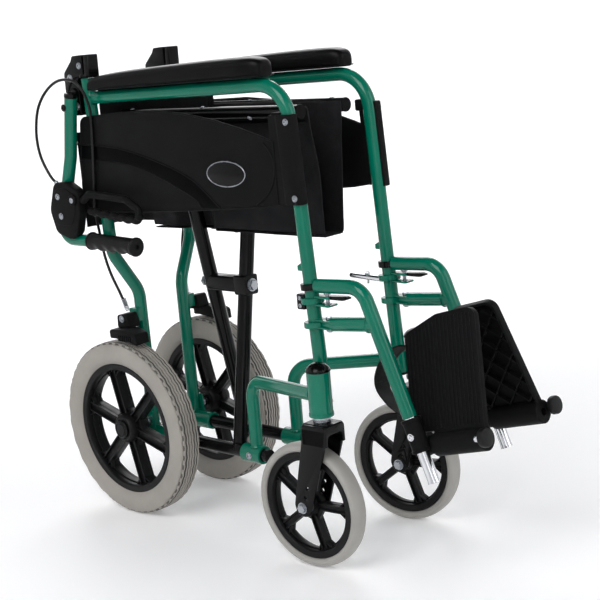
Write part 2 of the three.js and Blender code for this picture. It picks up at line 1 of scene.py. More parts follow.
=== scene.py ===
"""A folded transport wheelchair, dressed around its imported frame.

Lengths are millimetres in the chair's own frame (under the rear axle, on the middle plane,
+X the occupant's left, +Y the rear, +Z up) until build() and row_point() turn them into metres.
Each side is drawn as the left one and mirrored for the right.
"""
import bmesh
import bpy
import json
import math
from mathutils import Matrix, Vector


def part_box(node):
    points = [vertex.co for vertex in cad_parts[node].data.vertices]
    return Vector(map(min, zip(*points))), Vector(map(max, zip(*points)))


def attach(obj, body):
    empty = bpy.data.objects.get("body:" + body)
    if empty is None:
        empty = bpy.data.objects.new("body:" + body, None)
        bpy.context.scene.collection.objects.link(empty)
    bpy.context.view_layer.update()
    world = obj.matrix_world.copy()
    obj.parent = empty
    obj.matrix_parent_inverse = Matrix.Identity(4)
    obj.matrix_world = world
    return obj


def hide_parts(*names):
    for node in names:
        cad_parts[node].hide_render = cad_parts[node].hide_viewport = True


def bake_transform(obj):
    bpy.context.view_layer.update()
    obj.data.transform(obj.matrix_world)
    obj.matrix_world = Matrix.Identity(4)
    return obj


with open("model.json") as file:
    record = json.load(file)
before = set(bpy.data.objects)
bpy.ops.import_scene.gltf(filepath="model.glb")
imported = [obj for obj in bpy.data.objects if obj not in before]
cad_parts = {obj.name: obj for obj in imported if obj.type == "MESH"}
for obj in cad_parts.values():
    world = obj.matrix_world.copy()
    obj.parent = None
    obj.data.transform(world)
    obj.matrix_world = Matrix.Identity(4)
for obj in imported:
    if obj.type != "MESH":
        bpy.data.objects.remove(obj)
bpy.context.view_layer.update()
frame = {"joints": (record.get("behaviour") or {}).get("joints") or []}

# ---- The frame's own numbers ---------------------------------------------------------------

JOINTS = {joint["name"]: joint for joint in frame["joints"]}


def middle(node):
    low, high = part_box(node)
    return (low + high) / 2 * 1000


AXLE_LEFT, AXLE_RIGHT = middle("rear_tyre_left"), middle("rear_tyre_right")
ORIGIN = Vector(((AXLE_LEFT.x + AXLE_RIGHT.x) / 2, AXLE_LEFT.y, 0))
FRAME_X = middle("arm_frame_left").x - ORIGIN.x
BACK_X = middle("back_tube_left").x - ORIGIN.x
WHEEL_X = AXLE_LEFT.x - ORIGIN.x
WHEEL_R = AXLE_LEFT.z


def joint_place(name):
    """A joint's point in the chair's frame."""
    return Vector(JOINTS[name]["pos_m"]) * 1000 - ORIGIN


TUBE = 11
LOW_X = 50
LOW_Z = 131
LEG_Y = {"right": -220, "left": -138}
POST_FOOT_Y, POST_LEAN = -482, 0.057
PIVOT = joint_place("brace_pivot")
RAIL = joint_place("seat_left_turn")


def post(z):
    """A point on the front post's axis."""
    return Vector((FRAME_X, POST_FOOT_Y + POST_LEAN * z, z))


# ---- Shapes --------------------------------------------------------------------------------

class Shape:
    """Vertices and faces in millimetres, joined from several solids."""

    def __init__(self):
        self.points = []
        self.faces = []

    def add(self, solid, place=None):
        points, faces = solid
        start = len(self.points)
        self.points += [Vector(p) if place is None else place @ Vector(p) for p in points]
        self.faces += [[start + i for i in face] for face in faces]
        return self


def bent(points, radius, steps=8):
    """The points with each inner corner rounded by an arc."""
    points = [Vector(p) for p in points]
    out = [points[0]]
    for i in range(1, len(points) - 1):
        r = radius[i - 1] if isinstance(radius, (list, tuple)) else radius
        before = (points[i] - points[i - 1]).normalized()
        after = (points[i + 1] - points[i]).normalized()
        turn = before.angle(after)
        side = (after - before * after.dot(before)).normalized()
        start = points[i] - before * r * math.tan(turn / 2)
        centre = start + side * r
        for k in range(steps + 1):
            a = turn * k / steps
            out.append(centre + before * r * math.sin(a) - side * r * math.cos(a))
    out.append(points[-1])
    return out


def smooth(points, steps=6):
    """A Catmull-Rom curve through the points."""
    points = [Vector(p) for p in points]
    ends = [2 * points[0] - points[1], *points, 2 * points[-1] - points[-2]]
    out = []
    for i in range(1, len(ends) - 2):
        a, b, c, d = ends[i - 1:i + 3]
        for k in range(steps):
            t = k / steps
            out.append(0.5 * (2 * b + (c - a) * t + (2 * a - 5 * b + 4 * c - d) * t * t
                              + (3 * b - a - 3 * c + d) * t ** 3))
    out.append(points[-1])
    return out


def frames(points, up=None):
    """A side and an up direction at each point, carried along without twist."""
    points = [Vector(p) for p in points]
    out = []
    side = None
    for i, p in enumerate(points):
        way = (points[min(i + 1, len(points) - 1)] - points[max(i - 1, 0)]).normalized()
        if side is None:
            rough = up or (Vector((0, 0, 1)) if abs(way.z) < 0.9 else Vector((0, 1, 0)))
            side = way.cross(rough).normalized()
        side = (side - way * side.dot(way)).normalized()
        out.append((p, side, side.cross(way).normalized()))
    return out


def sweep(points, section, scales=None, up=None):
    """A closed section of (side, up) offsets carried along the points, with flat ends."""
    verts, faces = [], []
    count = len(section)
    stations = frames(points, up)
    for i, (p, side, top) in enumerate(stations):
        scale = 1 if scales is None else scales[i]
        verts += [p + (side * a + top * b) * scale for a, b in section]
    for i in range(len(stations) - 1):
        for k in range(count):
            j = (k + 1) % count
            faces.append([i * count + k, i * count + j, (i + 1) * count + j, (i + 1) * count + k])
    faces.append(list(range(count)))
    faces.append([len(verts) - count + k for k in range(count)])
    return verts, faces


def ring(radius, sides=28):
    return [(radius * math.cos(2 * math.pi * k / sides), radius * math.sin(2 * math.pi * k / sides))
            for k in range(sides)]


def tube(points, radius, sides=28, scales=None):
    return sweep(points, ring(radius, sides), scales)


def capped(points, radius, sides=24, round_off=1.2):
    """A rod with softened ends."""
    points = [Vector(p) for p in points]
    first = (points[1] - points[0]).normalized() * round_off
    last = (points[-2] - points[-1]).normalized() * round_off
    line = [points[0], points[0] + first * 0.3, points[0] + first, *points[1:-1],
            points[-1] + last, points[-1] + last * 0.3, points[-1]]
    edge = 1 - round_off / radius
    soft = 1 - 0.3 * round_off / radius
    return tube(line, radius, sides, [edge, soft, 1, *[1] * (len(points) - 2), 1, soft, edge])


def lathe(profile, centre, axis, segments=64, shift=None):
    """A solid of revolution: (radius, along) corners about an axis. shift moves a corner by angle."""
    axis = Vector(axis).normalized()
    rough = Vector((0, 0, 1)) if abs(axis.z) < 0.9 else Vector((0, 1, 0))
    side = axis.cross(rough).normalized()
    top = axis.cross(side)
    closed = profile[0] == profile[-1]
    corners = profile[:-1] if closed else profile
    verts, faces, rows = [], [], []
    for i, (r, along) in enumerate(corners):
        if r == 0:
            rows.append([len(verts)] * segments)
            verts.append(Vector(centre) + axis * along)
            continue
        rows.append(list(range(len(verts), len(verts) + segments)))
        for k in range(segments):
            a = 2 * math.pi * k / segments
            dr, da = shift(i, a) if shift else (0, 0)
            verts.append(Vector(centre) + axis * (along + da)
                         + (side * math.cos(a) + top * math.sin(a)) * (r + dr))
    pairs = list(zip(rows, rows[1:])) + ([(rows[-1], rows[0])] if closed else [])
    for low, high in pairs:
        for k in range(segments):
            j = (k + 1) % segments
            face = [low[k], low[j], high[j], high[k]]
            face = [v for n, v in enumerate(face) if v not in face[:n]]
            if len(face) > 2:
                faces.append(face)
    return verts, faces


def fillet(outline, radius, steps=5):
    """A flat closed outline with its corners rounded."""
    out = []
    count = len(outline)
    for i in range(count):
        before, here, after = (Vector(outline[(i + n) % count]) for n in (-1, 0, 1))
        r = radius[i] if isinstance(radius, (list, tuple)) else radius
        one, two = before - here, after - here
        angle = one.angle(two)
        if r <= 0 or angle > math.pi - 0.02:
            out.append(tuple(here))
            continue
        reach = min(r / math.tan(angle / 2), one.length * 0.48, two.length * 0.48)
        r = reach * math.tan(angle / 2)
        start, end = here + one.normalized() * reach, here + two.normalized() * reach
        centre = here + (one.normalized() + two.normalized()).normalized() * r / math.sin(angle / 2)
        a0 = math.atan2(*(start - centre).yx)
        turn = (math.atan2(*(end - centre).yx) - a0 + math.pi) % (2 * math.pi) - math.pi
        out += [tuple(centre + Vector((math.cos(a0 + turn * k / steps),
                                       math.sin(a0 + turn * k / steps))) * r)
                for k in range(steps + 1)]
    return out


def slab(outline, low, high, bevel=1.0, holes=(), onto="x"):
    """A flat outline with holes, from low to high, its edges bevelled.
    onto x takes outlines in (y, z); onto y takes (x, z); onto z takes (x, y)."""
    curve = bpy.data.curves.new("slab", "CURVE")
    curve.dimensions = "2D"
    curve.fill_mode = "BOTH"
    for line in (outline, *holes):
        spline = curve.splines.new("POLY")
        spline.points.add(len(line) - 1)
        for point, (a, b) in zip(spline.points, line):
            point.co = (a, b, 0, 1)
        spline.use_cyclic_u = True
    half = (high - low) / 2
    curve.bevel_depth = bevel
    curve.bevel_resolution = 2
    curve.offset = -bevel
    curve.extrude = half - bevel
    holder = bpy.data.objects.new("slab", curve)
    bpy.context.scene.collection.objects.link(holder)
    bpy.context.view_layer.update()
    mesh = holder.to_mesh()
    middle_depth = (low + high) / 2
    turn = {"x": lambda c: (c[2] + middle_depth, c[0], c[1]),
            "y": lambda c: (c[0], c[2] + middle_depth, c[1]),
            "z": lambda c: (c[0], c[1], c[2] + middle_depth)}[onto]
    verts = [Vector(turn(v.co)) for v in mesh.vertices]
    faces = [list(p.vertices) for p in mesh.polygons]
    holder.to_mesh_clear()
    bpy.data.objects.remove(holder)
    bpy.data.curves.remove(curve)
    return verts, faces


def rectangle(a0, a1, b0, b1):
    return [(a0, b0), (a1, b0), (a1, b1), (a0, b1)]


def oval(a, b, half_a, half_b, sides=48):
    angles = [2 * math.pi * k / sides for k in range(sides)]
    return [(a + half_a * math.cos(t), b + half_b * math.sin(t)) for t in angles]


def screw(at, way, radius=4.0, height=2.6):
    """A pan head on a washer, with a shallow socket."""
    washer = radius * 1.45
    profile = [(0, 0), (washer, 0), (washer, 0.5), (washer - 0.3, 0.9), (radius + 0.2, 0.9),
               (radius, 1.4), (radius * 0.86, height * 0.85), (radius * 0.55, height),
               (radius * 0.38, height), (radius * 0.34, height * 0.55), (0, height * 0.5)]
    return lathe(profile, at, way, 20)


def nut(at, way, radius=6.0, height=5.0):
    way = Vector(way).normalized()
    at = Vector(at)
    points = [at, at + way * 0.4, at + way * (height - 0.6), at + way * height]
    return tube(points, radius, 6, [0.93, 1, 1, 0.92])


# ---- Materials -----------------------------------------------------------------------------

def new_material(name):
    made = bpy.data.materials.new(name)
    made.use_nodes = True
    tree = made.node_tree
    shader = next(n for n in tree.nodes if n.type == "BSDF_PRINCIPLED")
    where = tree.nodes.new("ShaderNodeTexCoord").outputs["Object"]
    return made, tree, shader, where


def noise(tree, where, scale, detail=4.0, rough=0.55):
    made = tree.nodes.new("ShaderNodeTexNoise")
    made.inputs["Scale"].default_value = scale
    made.inputs["Detail"].default_value = detail
    made.inputs["Roughness"].default_value = rough
    tree.links.new(where, made.inputs["Vector"])
    return made.outputs["Fac"]


def ranged(tree, value, low, high, start=0.3, end=0.7):
    made = tree.nodes.new("ShaderNodeMapRange")
    made.inputs["From Min"].default_value = start
    made.inputs["From Max"].default_value = end
    made.inputs["To Min"].default_value = low
    made.inputs["To Max"].default_value = high
    tree.links.new(value, made.inputs["Value"])
    return made.outputs["Result"]


def math_node(tree, kind, a, b=None):
    made = tree.nodes.new("ShaderNodeMath")
    made.operation = kind
    for socket, value in zip(made.inputs, (a, b)):
        if isinstance(value, (int, float)):
            socket.default_value = value
        elif value is not None:
            tree.links.new(value, socket)
    return made.outputs[0]


def tinted(tree, shader, value, dark, light):
    """Base colour running from dark to light with a 0 to 1 value."""
    mix = tree.nodes.new("ShaderNodeMix")
    mix.data_type = "RGBA"
    mix.inputs["A"].default_value = (*dark, 1)
    mix.inputs["B"].default_value = (*light, 1)
    tree.links.new(value, mix.inputs["Factor"])
    tree.links.new(mix.outputs["Result"], shader.inputs["Base Color"])


def bumped(tree, shader, height, strength, distance):
    made = tree.nodes.new("ShaderNodeBump")
    made.inputs["Strength"].default_value = strength
    made.inputs["Distance"].default_value = distance
    tree.links.new(height, made.inputs["Height"])
    tree.links.new(made.outputs["Normal"], shader.inputs["Normal"])


def painted_edge_highlight(tree):
    """1 on convex edges, 0 elsewhere: the mask for a painted highlight along edges."""
    geometry = tree.nodes.new("ShaderNodeNewGeometry")
    return ranged(tree, geometry.outputs["Pointiness"], 0, 1, 0.515, 0.58)


def surface(name, dark, light, roughness, grain, bump, mottle=9.0, metal=0.0, coat=0.0, edge=None,
            specular=0.5):
    """Mottled colour, uneven roughness and a fine grain; edge paints a highlight by lightening convex edges.
    """
    made, tree, shader, where = new_material(name)
    patches = ranged(tree, noise(tree, where, mottle, 5), 0, 1)
    if edge:
        # Convex edges take the light colour: a painted highlight.
        painted_highlight = math_node(tree, "MULTIPLY", painted_edge_highlight(tree), edge)
        patches = math_node(tree, "MAXIMUM", patches, painted_highlight)
    tinted(tree, shader, patches, dark, light)
    low, high = roughness
    tree.links.new(ranged(tree, noise(tree, where, mottle * 7, 6), low, high), shader.inputs["Roughness"])
    bumped(tree, shader, noise(tree, where, grain, 3), bump, 0.0004)
    shader.inputs["Metallic"].default_value = metal
    shader.inputs["Specular IOR Level"].default_value = specular
    shader.inputs["Coat Weight"].default_value = coat
    shader.inputs["Coat Roughness"].default_value = 0.12
    return made


def woven(name, dark, light, thread, bump):
    """Cloth: two crossed sets of threads over soft creases."""
    made, tree, shader, where = new_material(name)
    split = tree.nodes.new("ShaderNodeSeparateXYZ")
    tree.links.new(where, split.inputs[0])
    turns = 2 * math.pi / thread
    weft = math_node(tree, "ADD", split.outputs["Z"], split.outputs["X"])
    one = math_node(tree, "SINE", math_node(tree, "MULTIPLY", split.outputs["Y"], turns))
    two = math_node(tree, "SINE", math_node(tree, "MULTIPLY", weft, turns))
    weave = math_node(tree, "MULTIPLY", one, two)
    crease = noise(tree, where, 34, 6, 0.6)
    height = math_node(tree, "ADD", math_node(tree, "MULTIPLY", weave, 0.12), crease)
    tinted(tree, shader, ranged(tree, noise(tree, where, 14, 5), 0, 1), dark, light)
    tree.links.new(ranged(tree, crease, 0.5, 0.72), shader.inputs["Roughness"])
    bumped(tree, shader, height, bump, 0.004)
    shader.inputs["Sheen Weight"].default_value = 0.04
    shader.inputs["Specular IOR Level"].default_value = 0.22
    shader.inputs["Sheen Roughness"].default_value = 0.4
    return made


def tyre_rubber():
    """Grey rubber, with painted shade darkening its hollows."""
    made, tree, shader, where = new_material("grey tyre")
    geometry = tree.nodes.new("ShaderNodeNewGeometry")
    # Pointiness finds the hollows, which take the near-black colour as painted shade.
    raised = ranged(tree, geometry.outputs["Pointiness"], 0, 1, 0.43, 0.5)
    patches = ranged(tree, noise(tree, where, 16, 5), 0.84, 1)
    tinted(tree, shader, math_node(tree, "MULTIPLY", raised, patches), (0.045, 0.042, 0.038),
           (0.34, 0.318, 0.287))
    tree.links.new(ranged(tree, noise(tree, where, 110, 5), 0.55, 0.72), shader.inputs["Roughness"])
    bumped(tree, shader, noise(tree, where, 700, 3), 0.3, 0.0004)
    return made


TYRE = tyre_rubber()
GREEN = surface("green paint", (0.0, 0.128, 0.078), (0.0, 0.158, 0.096), (0.07, 0.12), 260, 0.02,
                coat=0.08, specular=0.3)
BLACK = surface("black powder coat", (0.0015, 0.0015, 0.0018), (0.003, 0.003, 0.0034), (0.12, 0.2), 900,
                0.1, coat=0.03, specular=0.15)
# edge=0.5 paints a highlight along the moulded plastic's convex edges.
PLASTIC = surface("moulded plastic", (0.0055, 0.0055, 0.0058), (0.0078, 0.0078, 0.0082), (0.4, 0.54),
                  1500, 0.3, edge=0.5, specular=0.05)
DARK_PLASTIC = surface("band plastic", (0.0012, 0.0012, 0.0014), (0.002, 0.002, 0.0023), (0.3, 0.42), 1500,
                       0.25, specular=0.03)
# edge=0.6 paints a highlight along the rim's convex edges.
RIM = surface("rim plastic", (0.0035, 0.0035, 0.004), (0.0065, 0.0065, 0.007), (0.34, 0.48), 1200, 0.2,
              edge=0.6, specular=0.16)
# A darker grey for the tread's groove faces: painted shade.
GROOVE_SHADE = surface("painted groove shade", (0.075, 0.072, 0.066), (0.11, 0.105, 0.096), (0.6, 0.75), 700, 0.3,
                 mottle=16)
CASTER_TYRE = surface("caster tyre", (0.31, 0.3, 0.278), (0.36, 0.35, 0.325), (0.42, 0.58), 500, 0.2,
                      mottle=16)
VINYL = surface("pad vinyl", (0.0018, 0.0018, 0.002), (0.0032, 0.0032, 0.0035), (0.3, 0.38), 900, 0.15,
                specular=0.1)
RUBBER = surface("grip rubber", (0.005, 0.005, 0.005), (0.009, 0.009, 0.009), (0.4, 0.54), 1400, 0.3,
                 specular=0.2)
SLEEVE = surface("cable sleeve", (0.003, 0.003, 0.003), (0.005, 0.005, 0.005), (0.3, 0.42), 900, 0.1,
                 specular=0.3)
GLOSS = surface("gloss black", (0.0015, 0.0015, 0.0015), (0.003, 0.003, 0.003), (0.1, 0.16), 300, 0.02,
                specular=0.18)
ZINC = surface("zinc plate", (0.3, 0.32, 0.35), (0.46, 0.48, 0.51), (0.2, 0.34), 900, 0.15, metal=1.0)
CHROME = surface("chrome", (0.72, 0.73, 0.75), (0.8, 0.81, 0.83), (0.06, 0.14), 500, 0.04, metal=1.0)
NYLON = woven("black nylon", (0.0018, 0.0018, 0.0028), (0.0038, 0.0038, 0.0055), 0.0012, 0.55)
WEBBING = woven("webbing", (0.0025, 0.0025, 0.0025), (0.005, 0.005, 0.005), 0.0022, 0.6)


# ---- Pieces --------------------------------------------------------------------------------

SMOOTH_ANGLE = math.radians(38)


def build(name, shape, material, mirrored=False):
    """A mesh object in the row's metres from a shape in the chair's millimetres."""
    mesh = bpy.data.meshes.new(name)
    way = -1 if mirrored else 1
    mesh.from_pydata([(Vector((p.x * way, p.y, p.z)) + ORIGIN) / 1000 for p in shape.points], [],
                     shape.faces)
    work = bmesh.new()
    work.from_mesh(mesh)
    bmesh.ops.remove_doubles(work, verts=work.verts, dist=1e-6)
    bmesh.ops.recalc_face_normals(work, faces=work.faces)
    work.to_mesh(mesh)
    work.free()
    for face in mesh.polygons:
        face.use_smooth = True
    mesh.set_sharp_from_angle(angle=SMOOTH_ANGLE)
    mesh.materials.append(material)
    made = bpy.data.objects.new(name, mesh)
    bpy.context.scene.collection.objects.link(made)
    return made


def piece(name, shape, material, body, mirrored=False, replaces=()):
    made = build(name, shape, material, mirrored)
    if replaces:
        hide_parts(*replaces)
    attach(made, body)
    return made


def pair(name, shape, material, body, replaces=()):
    """The left piece and its mirror image. body and replaces get _left or _right."""
    for side in ("left", "right"):
        nodes = [node + "_" + side for node in replaces]
        piece(name + "_" + side, shape, material, body + "_" + side, side == "right", nodes)


# ---- Camera, light and floor ---------------------------------------------------------------

CAMERA_AT = Vector((-1576.5, -1862.3, 841.6))
CAMERA_YAW, CAMERA_PITCH, CAMERA_ROLL = 0.767, -0.203, -0.087
FOCAL_PIXELS = 1377.5
IMAGE = 600


def add_camera():
    ahead = Vector((math.cos(CAMERA_PITCH) * math.cos(CAMERA_YAW),
                    math.cos(CAMERA_PITCH) * math.sin(CAMERA_YAW), math.sin(CAMERA_PITCH)))
    level = ahead.cross(Vector((0, 0, 1))).normalized()
    above = level.cross(ahead)
    right = level * math.cos(CAMERA_ROLL) + above * math.sin(CAMERA_ROLL)
    up = above * math.cos(CAMERA_ROLL) - level * math.sin(CAMERA_ROLL)
    data = bpy.data.cameras.new("camera")
    data.sensor_width = 36
    data.lens = FOCAL_PIXELS / IMAGE * data.sensor_width
    made = bpy.data.objects.new("camera", data)
    bpy.context.scene.collection.objects.link(made)
    turn = Matrix((right, up, -ahead)).transposed().to_4x4()
    made.matrix_world = Matrix.Translation((CAMERA_AT + ORIGIN) / 1000) @ turn
    bpy.context.scene.camera = made


def add_light(name, at, target, size, power):
    data = bpy.data.lights.new(name, "AREA")
    data.shape = "RECTANGLE"
    data.size, data.size_y = size
    data.energy = power
    made = bpy.data.objects.new(name, data)
    bpy.context.scene.collection.objects.link(made)
    made.location = at
    made.rotation_euler = (Vector(target) - Vector(at)).to_track_quat("-Z", "Y").to_euler()


def add_studio():
    """Lamps round the chair, and a pale floor that curves up into a round wall."""
    centre = (0, 0, 0.4)
    add_light("key", (-2.6, -0.6, 3.0), centre, (2.2, 2.2), 66)
    add_light("front", (0.9, -3.4, 2.0), centre, (1.6, 2.4), 24)
    add_light("rear", (2.2, 2.4, 2.6), centre, (2.4, 2.0), 40)
    add_light("strip", (-3.2, -2.8, 1.3), centre, (0.5, 2.6), 8)
    add_light("backdrop", (3.0, 2.6, 4.2), (5.5, 5.2, 1.0), (5, 3), 165)
    world = bpy.data.worlds.new("studio")
    world.use_nodes = True
    world.node_tree.nodes["Background"].inputs["Color"].default_value = (0.93, 0.95, 1.0, 1)
    world.node_tree.nodes["Background"].inputs["Strength"].default_value = 0.1
    bpy.context.scene.world = world
    bpy.context.scene.view_settings.view_transform = "Standard"
    floor_material, tree, shader, where = new_material("floor")
    tinted(tree, shader, ranged(tree, noise(tree, where, 0.7, 2), 0, 1), (0.9, 0.9, 0.91),
           (0.93, 0.93, 0.94))
    shader.inputs["Roughness"].default_value = 0.6
    shader.inputs["Emission Color"].default_value = (1, 1, 1, 1)
    shader.inputs["Emission Strength"].default_value = 0.16
    verts, sides = [Vector()], 72
    flat, bend, steps, top = 5, 3, 12, 9
    curve = [math.pi / 2 * k / steps for k in range(1, steps + 1)]
    line = [(1, 0), (3, 0), (flat, 0)]
    line += [(flat + bend * math.sin(a), bend - bend * math.cos(a)) for a in curve]
    line.append((flat + bend, top))
    for radius, height in line:
        verts += [Vector((radius * math.cos(a), radius * math.sin(a), height))
                  for a in [2 * math.pi * k / sides for k in range(sides)]]
    faces = [[0, 1 + k, 1 + (k + 1) % sides] for k in range(sides)]
    for i in range(len(line) - 1):
        low, high = 1 + i * sides, 1 + (i + 1) * sides
        faces += [[low + k, high + k, high + (k + 1) % sides, low + (k + 1) % sides]
                  for k in range(sides)]
    mesh = bpy.data.meshes.new("floor")
    mesh.from_pydata(verts, [], faces)
    for face in mesh.polygons:
        face.use_smooth = True
    mesh.materials.append(floor_material)
    floor = bpy.data.objects.new("floor", mesh)
    bpy.context.scene.collection.objects.link(floor)


add_camera()
add_studio()

# ---- Wheels --------------------------------------------------------------------------------

OUT, BACK, UP = Vector((1, 0, 0)), Vector((0, 1, 0)), Vector((0, 0, 1))
RIB_TEETH = 54
RIBS = [-15 + 6 * k for k in range(6)]
RIB_DEPTH, RIB_TOP, RIB_FOOT = 3, 1.6, 2.1
# Groove faces inside this radius are coloured as painted shade.
GROOVE_RIM = 154.2  # faces of the tread nearer to the axle than this are groove


def mirrored_profile(half):
    return half + [(r, -x) for r, x in reversed(half)]


def rear_tyre():
    side = [(117.3, -16.6), (120, -19.4), (126, -22.6), (134, -23.9), (142, -23.4), (148, -21.6),
            (151.2, -20.4), (152.2, -18.6)]
    tread = []
    for centre in RIBS:
        crown = 156 - 0.0045 * centre * centre
        tread += [(crown - RIB_DEPTH, centre - RIB_FOOT), (crown, centre - RIB_TOP),
                  (crown, centre + RIB_TOP), (crown - RIB_DEPTH, centre + RIB_FOOT)]
    profile = side + tread + [(r, -x) for r, x in reversed(side)]
    profile.append(profile[0])
    first, last = len(side), len(side) + len(tread)

    def zigzag(i, a):
        if first <= i < last:
            return 0, 0.8 * math.sin(RIB_TEETH * a)
        if i in (first - 2, last + 1):
            return 0.9 * math.sin(RIB_TEETH * a / 2), 0
        return 0, 0

    return Shape().add(lathe(profile, (WHEEL_X, 0, WHEEL_R), OUT, RIB_TEETH * 4, zigzag))


def spoke_window(middle_angle, spokes, half, inner, outer, centre):
    corners = []
    for radius, count, way in ((inner, 2, 1), (outer, 13, -1)):
        reach = math.pi / spokes - math.asin(half / radius)
        for i in range(count):
            a = middle_angle + way * reach * (1 - 2 * i / (count - 1))
            corners.append((centre[0] + radius * math.sin(a), centre[1] - radius * math.cos(a)))
    radii = [7, 7, outer * 0.17, *[0] * 11, outer * 0.17]
    return fillet(corners, radii, 6)


def bar_between(a, b, wide, high, up=OUT):
    return sweep([a, b], rectangle(-wide / 2, wide / 2, -high / 2, high / 2), up=up)


REAR_TURN, CASTER_TURN = -0.26, -0.35


def spoked_rim(at, ring_profile, hub_profile, spokes, half, inner, outer, web, ridge, turn):
    """A ring, a windowed web with raised edges along each spoke, and a bored hub."""
    x, y, z = at
    made = Shape().add(lathe(ring_profile, at, OUT, 96)).add(lathe(hub_profile, at, OUT, 48))
    windows = [spoke_window(turn + math.pi * (2 * k + 1) / spokes, spokes, half, inner, outer, (y, z))
               for k in range(spokes)]
    made.add(slab(oval(y, z, outer + 4, outer + 4, 96), x - web, x + web, 1.0, windows))
    for k in range(spokes):
        a = turn + 2 * math.pi * k / spokes
        along = Vector((0, math.sin(a), -math.cos(a)))
        across = Vector((0, math.cos(a), math.sin(a)))
        for way in (-1, 1):
            for face in (-1, 1):
                middle_x = x + face * (web + ridge) / 2
                offset = across * way * (half - 1.5) + Vector((middle_x, y, z))
                made.add(bar_between(offset + along * (inner - 10), offset + along * (outer + 1),
                                     2.2, web + ridge))
                gusset = Vector((middle_x, y, z)) + across * way * half * 2.2
                made.add(bar_between(offset + along * (outer - 9), gusset + along * (outer + 2), 1.8,
                                     web + ridge * 0.6))
    return made


def rear_rim():
    ring_profile = [(104.4, -9), (105.4, -15.4), (107, -17), (116.2, -17.3), (117.1, -16.4),
                    (117.1, 16.4), (116.2, 17.3), (107, 17), (105.4, 15.4), (104.4, 9), (104.4, -9)]
    half = [(6.4, -22), (9.5, -22), (9.8, -20.6), (16.8, -20.6), (17.8, -22), (21.5, -21.6),
            (24.8, -18), (26.6, -9)]
    hub_profile = mirrored_profile(half) + [half[0]]
    return spoked_rim((WHEEL_X, 0, WHEEL_R), ring_profile, hub_profile, 6, 9, 34, 102, 5.5, 5.5,
                      REAR_TURN)


def rear_axle():
    line = [Vector((x, 0, WHEEL_R)) for x in (61.3, 121)]
    made = Shape().add(capped(line, 6, 24, 0.8))
    made.add(capped([Vector((61.3, 0, WHEEL_R)), Vector((77.7, 0, WHEEL_R))], 10, 28, 0.8))
    return made


pair("tyre", rear_tyre(), TYRE, "rear_wheel", ["rear_tyre"])
for side in ("left", "right"):
    tyre = bpy.data.objects["tyre_" + side].data
    # The groove faces take the darker grey of painted shade.
    tyre.materials.append(GROOVE_SHADE)
    for face in tyre.polygons:
        x, y, z = face.center * 1000 - ORIGIN
        across = abs(abs(x) - WHEEL_X)
        if across < RIBS[-1] + 2 and math.hypot(y, z - WHEEL_R) < GROOVE_RIM:
            face.material_index = 1
pair("rim", rear_rim(), RIM, "rear_wheel", ["rear_rim"])
pair("axle", rear_axle(), ZINC, "frame", ["rear_axle"])

hub_cap = Shape().add(lathe([(0, 122), (15.6, 122), (16, 122.6), (16, 125), (14.6, 126.6), (12.6, 127),
                             (12.2, 126.2), (10.6, 126.2), (10.2, 127), (0, 127.4)],
                            (0, 0, WHEEL_R), OUT, 56))
pair("hub_cap", hub_cap, RIM, "rear_wheel")

CASTER_AT = Vector((118, -481, 0))
TRAIL, CASTER_R = 35, 100
CASTER_YAW = {"left": 0.11, "right": -0.03}


def caster_tyre():
    half = [(85.9, -10.4), (87.2, -12.8), (90, -14.4), (93.2, -14.9), (96, -13.4), (98.2, -10.4),
            (99.5, -6.4), (100, -2)]
    return Shape().add(lathe(mirrored_profile(half) + [half[0]], (0, TRAIL, CASTER_R), OUT, 96))


def caster_rim():
    ring_profile = [(73.2, -6), (74.2, -9.8), (75.4, -10.8), (84.8, -11), (85.6, -10.2), (85.6, 10.2),
                    (84.8, 11), (75.4, 10.8), (74.2, 9.8), (73.2, 6), (73.2, -6)]
    half = [(4.4, -17), (7, -17), (7.2, -15.8), (12, -15.8), (13, -17), (15.6, -16.2), (17.4, -12),
            (18.4, -6)]
    hub_profile = mirrored_profile(half) + [half[0]]
    return spoked_rim((0, TRAIL, CASTER_R), ring_profile, hub_profile, 5, 6.5, 26, 70.6, 4, 3.6,
                      CASTER_TURN)


def caster_fork():
    leg = fillet([(-24, 236), (24, 236), (27, 205), (51, 104), (47, 88), (27, 85), (17, 98), (-18, 200)],
                 [6, 6, 12, 10, 12, 12, 8, 14])
    holes = [oval(TRAIL, CASTER_R, 4.4, 4.4, 20), oval(27.8, 117.4, 3, 3, 18), oval(22.3, 133, 3, 3, 18)]
    made = Shape()
    for low, high in ((18, 23), (-23, -18)):
        made.add(slab(leg, low, high, 1.1, holes))
    arch = fillet([(-23, 205), (-23, 237), (23, 237), (23, 205), (18, 205), (18, 222), (-18, 222),
                   (-18, 205)], [0, 8, 8, 0, 0, 9, 9, 0])
    made.add(slab(arch, -24, 24, 1.4, onto="y"))
    return made.add(tube([(0, 0, 236), (0, 0, 309)], 8.0, 24))


def caster_race():
    return Shape().add(lathe([(8.3, 236.6), (13.6, 236.6), (14, 237.2), (14, 241), (12.6, 242),
                              (12.6, 243), (14, 244), (14, 246.3), (8.3, 246.3), (8.3, 236.6)],
                             (0, 0, 0), UP, 40))


def caster_axle():
    made = Shape().add(capped([Vector((-26, TRAIL, CASTER_R)), Vector((26, TRAIL, CASTER_R))], 4, 20, 0.6))
    for way in (-1, 1):
        made.add(lathe([(0, 23.2), (9, 23.2), (9, 24.1), (0, 24.1)], (0, TRAIL, CASTER_R), OUT * way, 28))
        made.add(nut((way * 24.1, TRAIL, CASTER_R), OUT * way, 7.2, 4.4))
    return made


def placed(shape, place):
    moved = Shape()
    moved.points = [place @ p for p in shape.points]
    moved.faces = shape.faces
    return moved


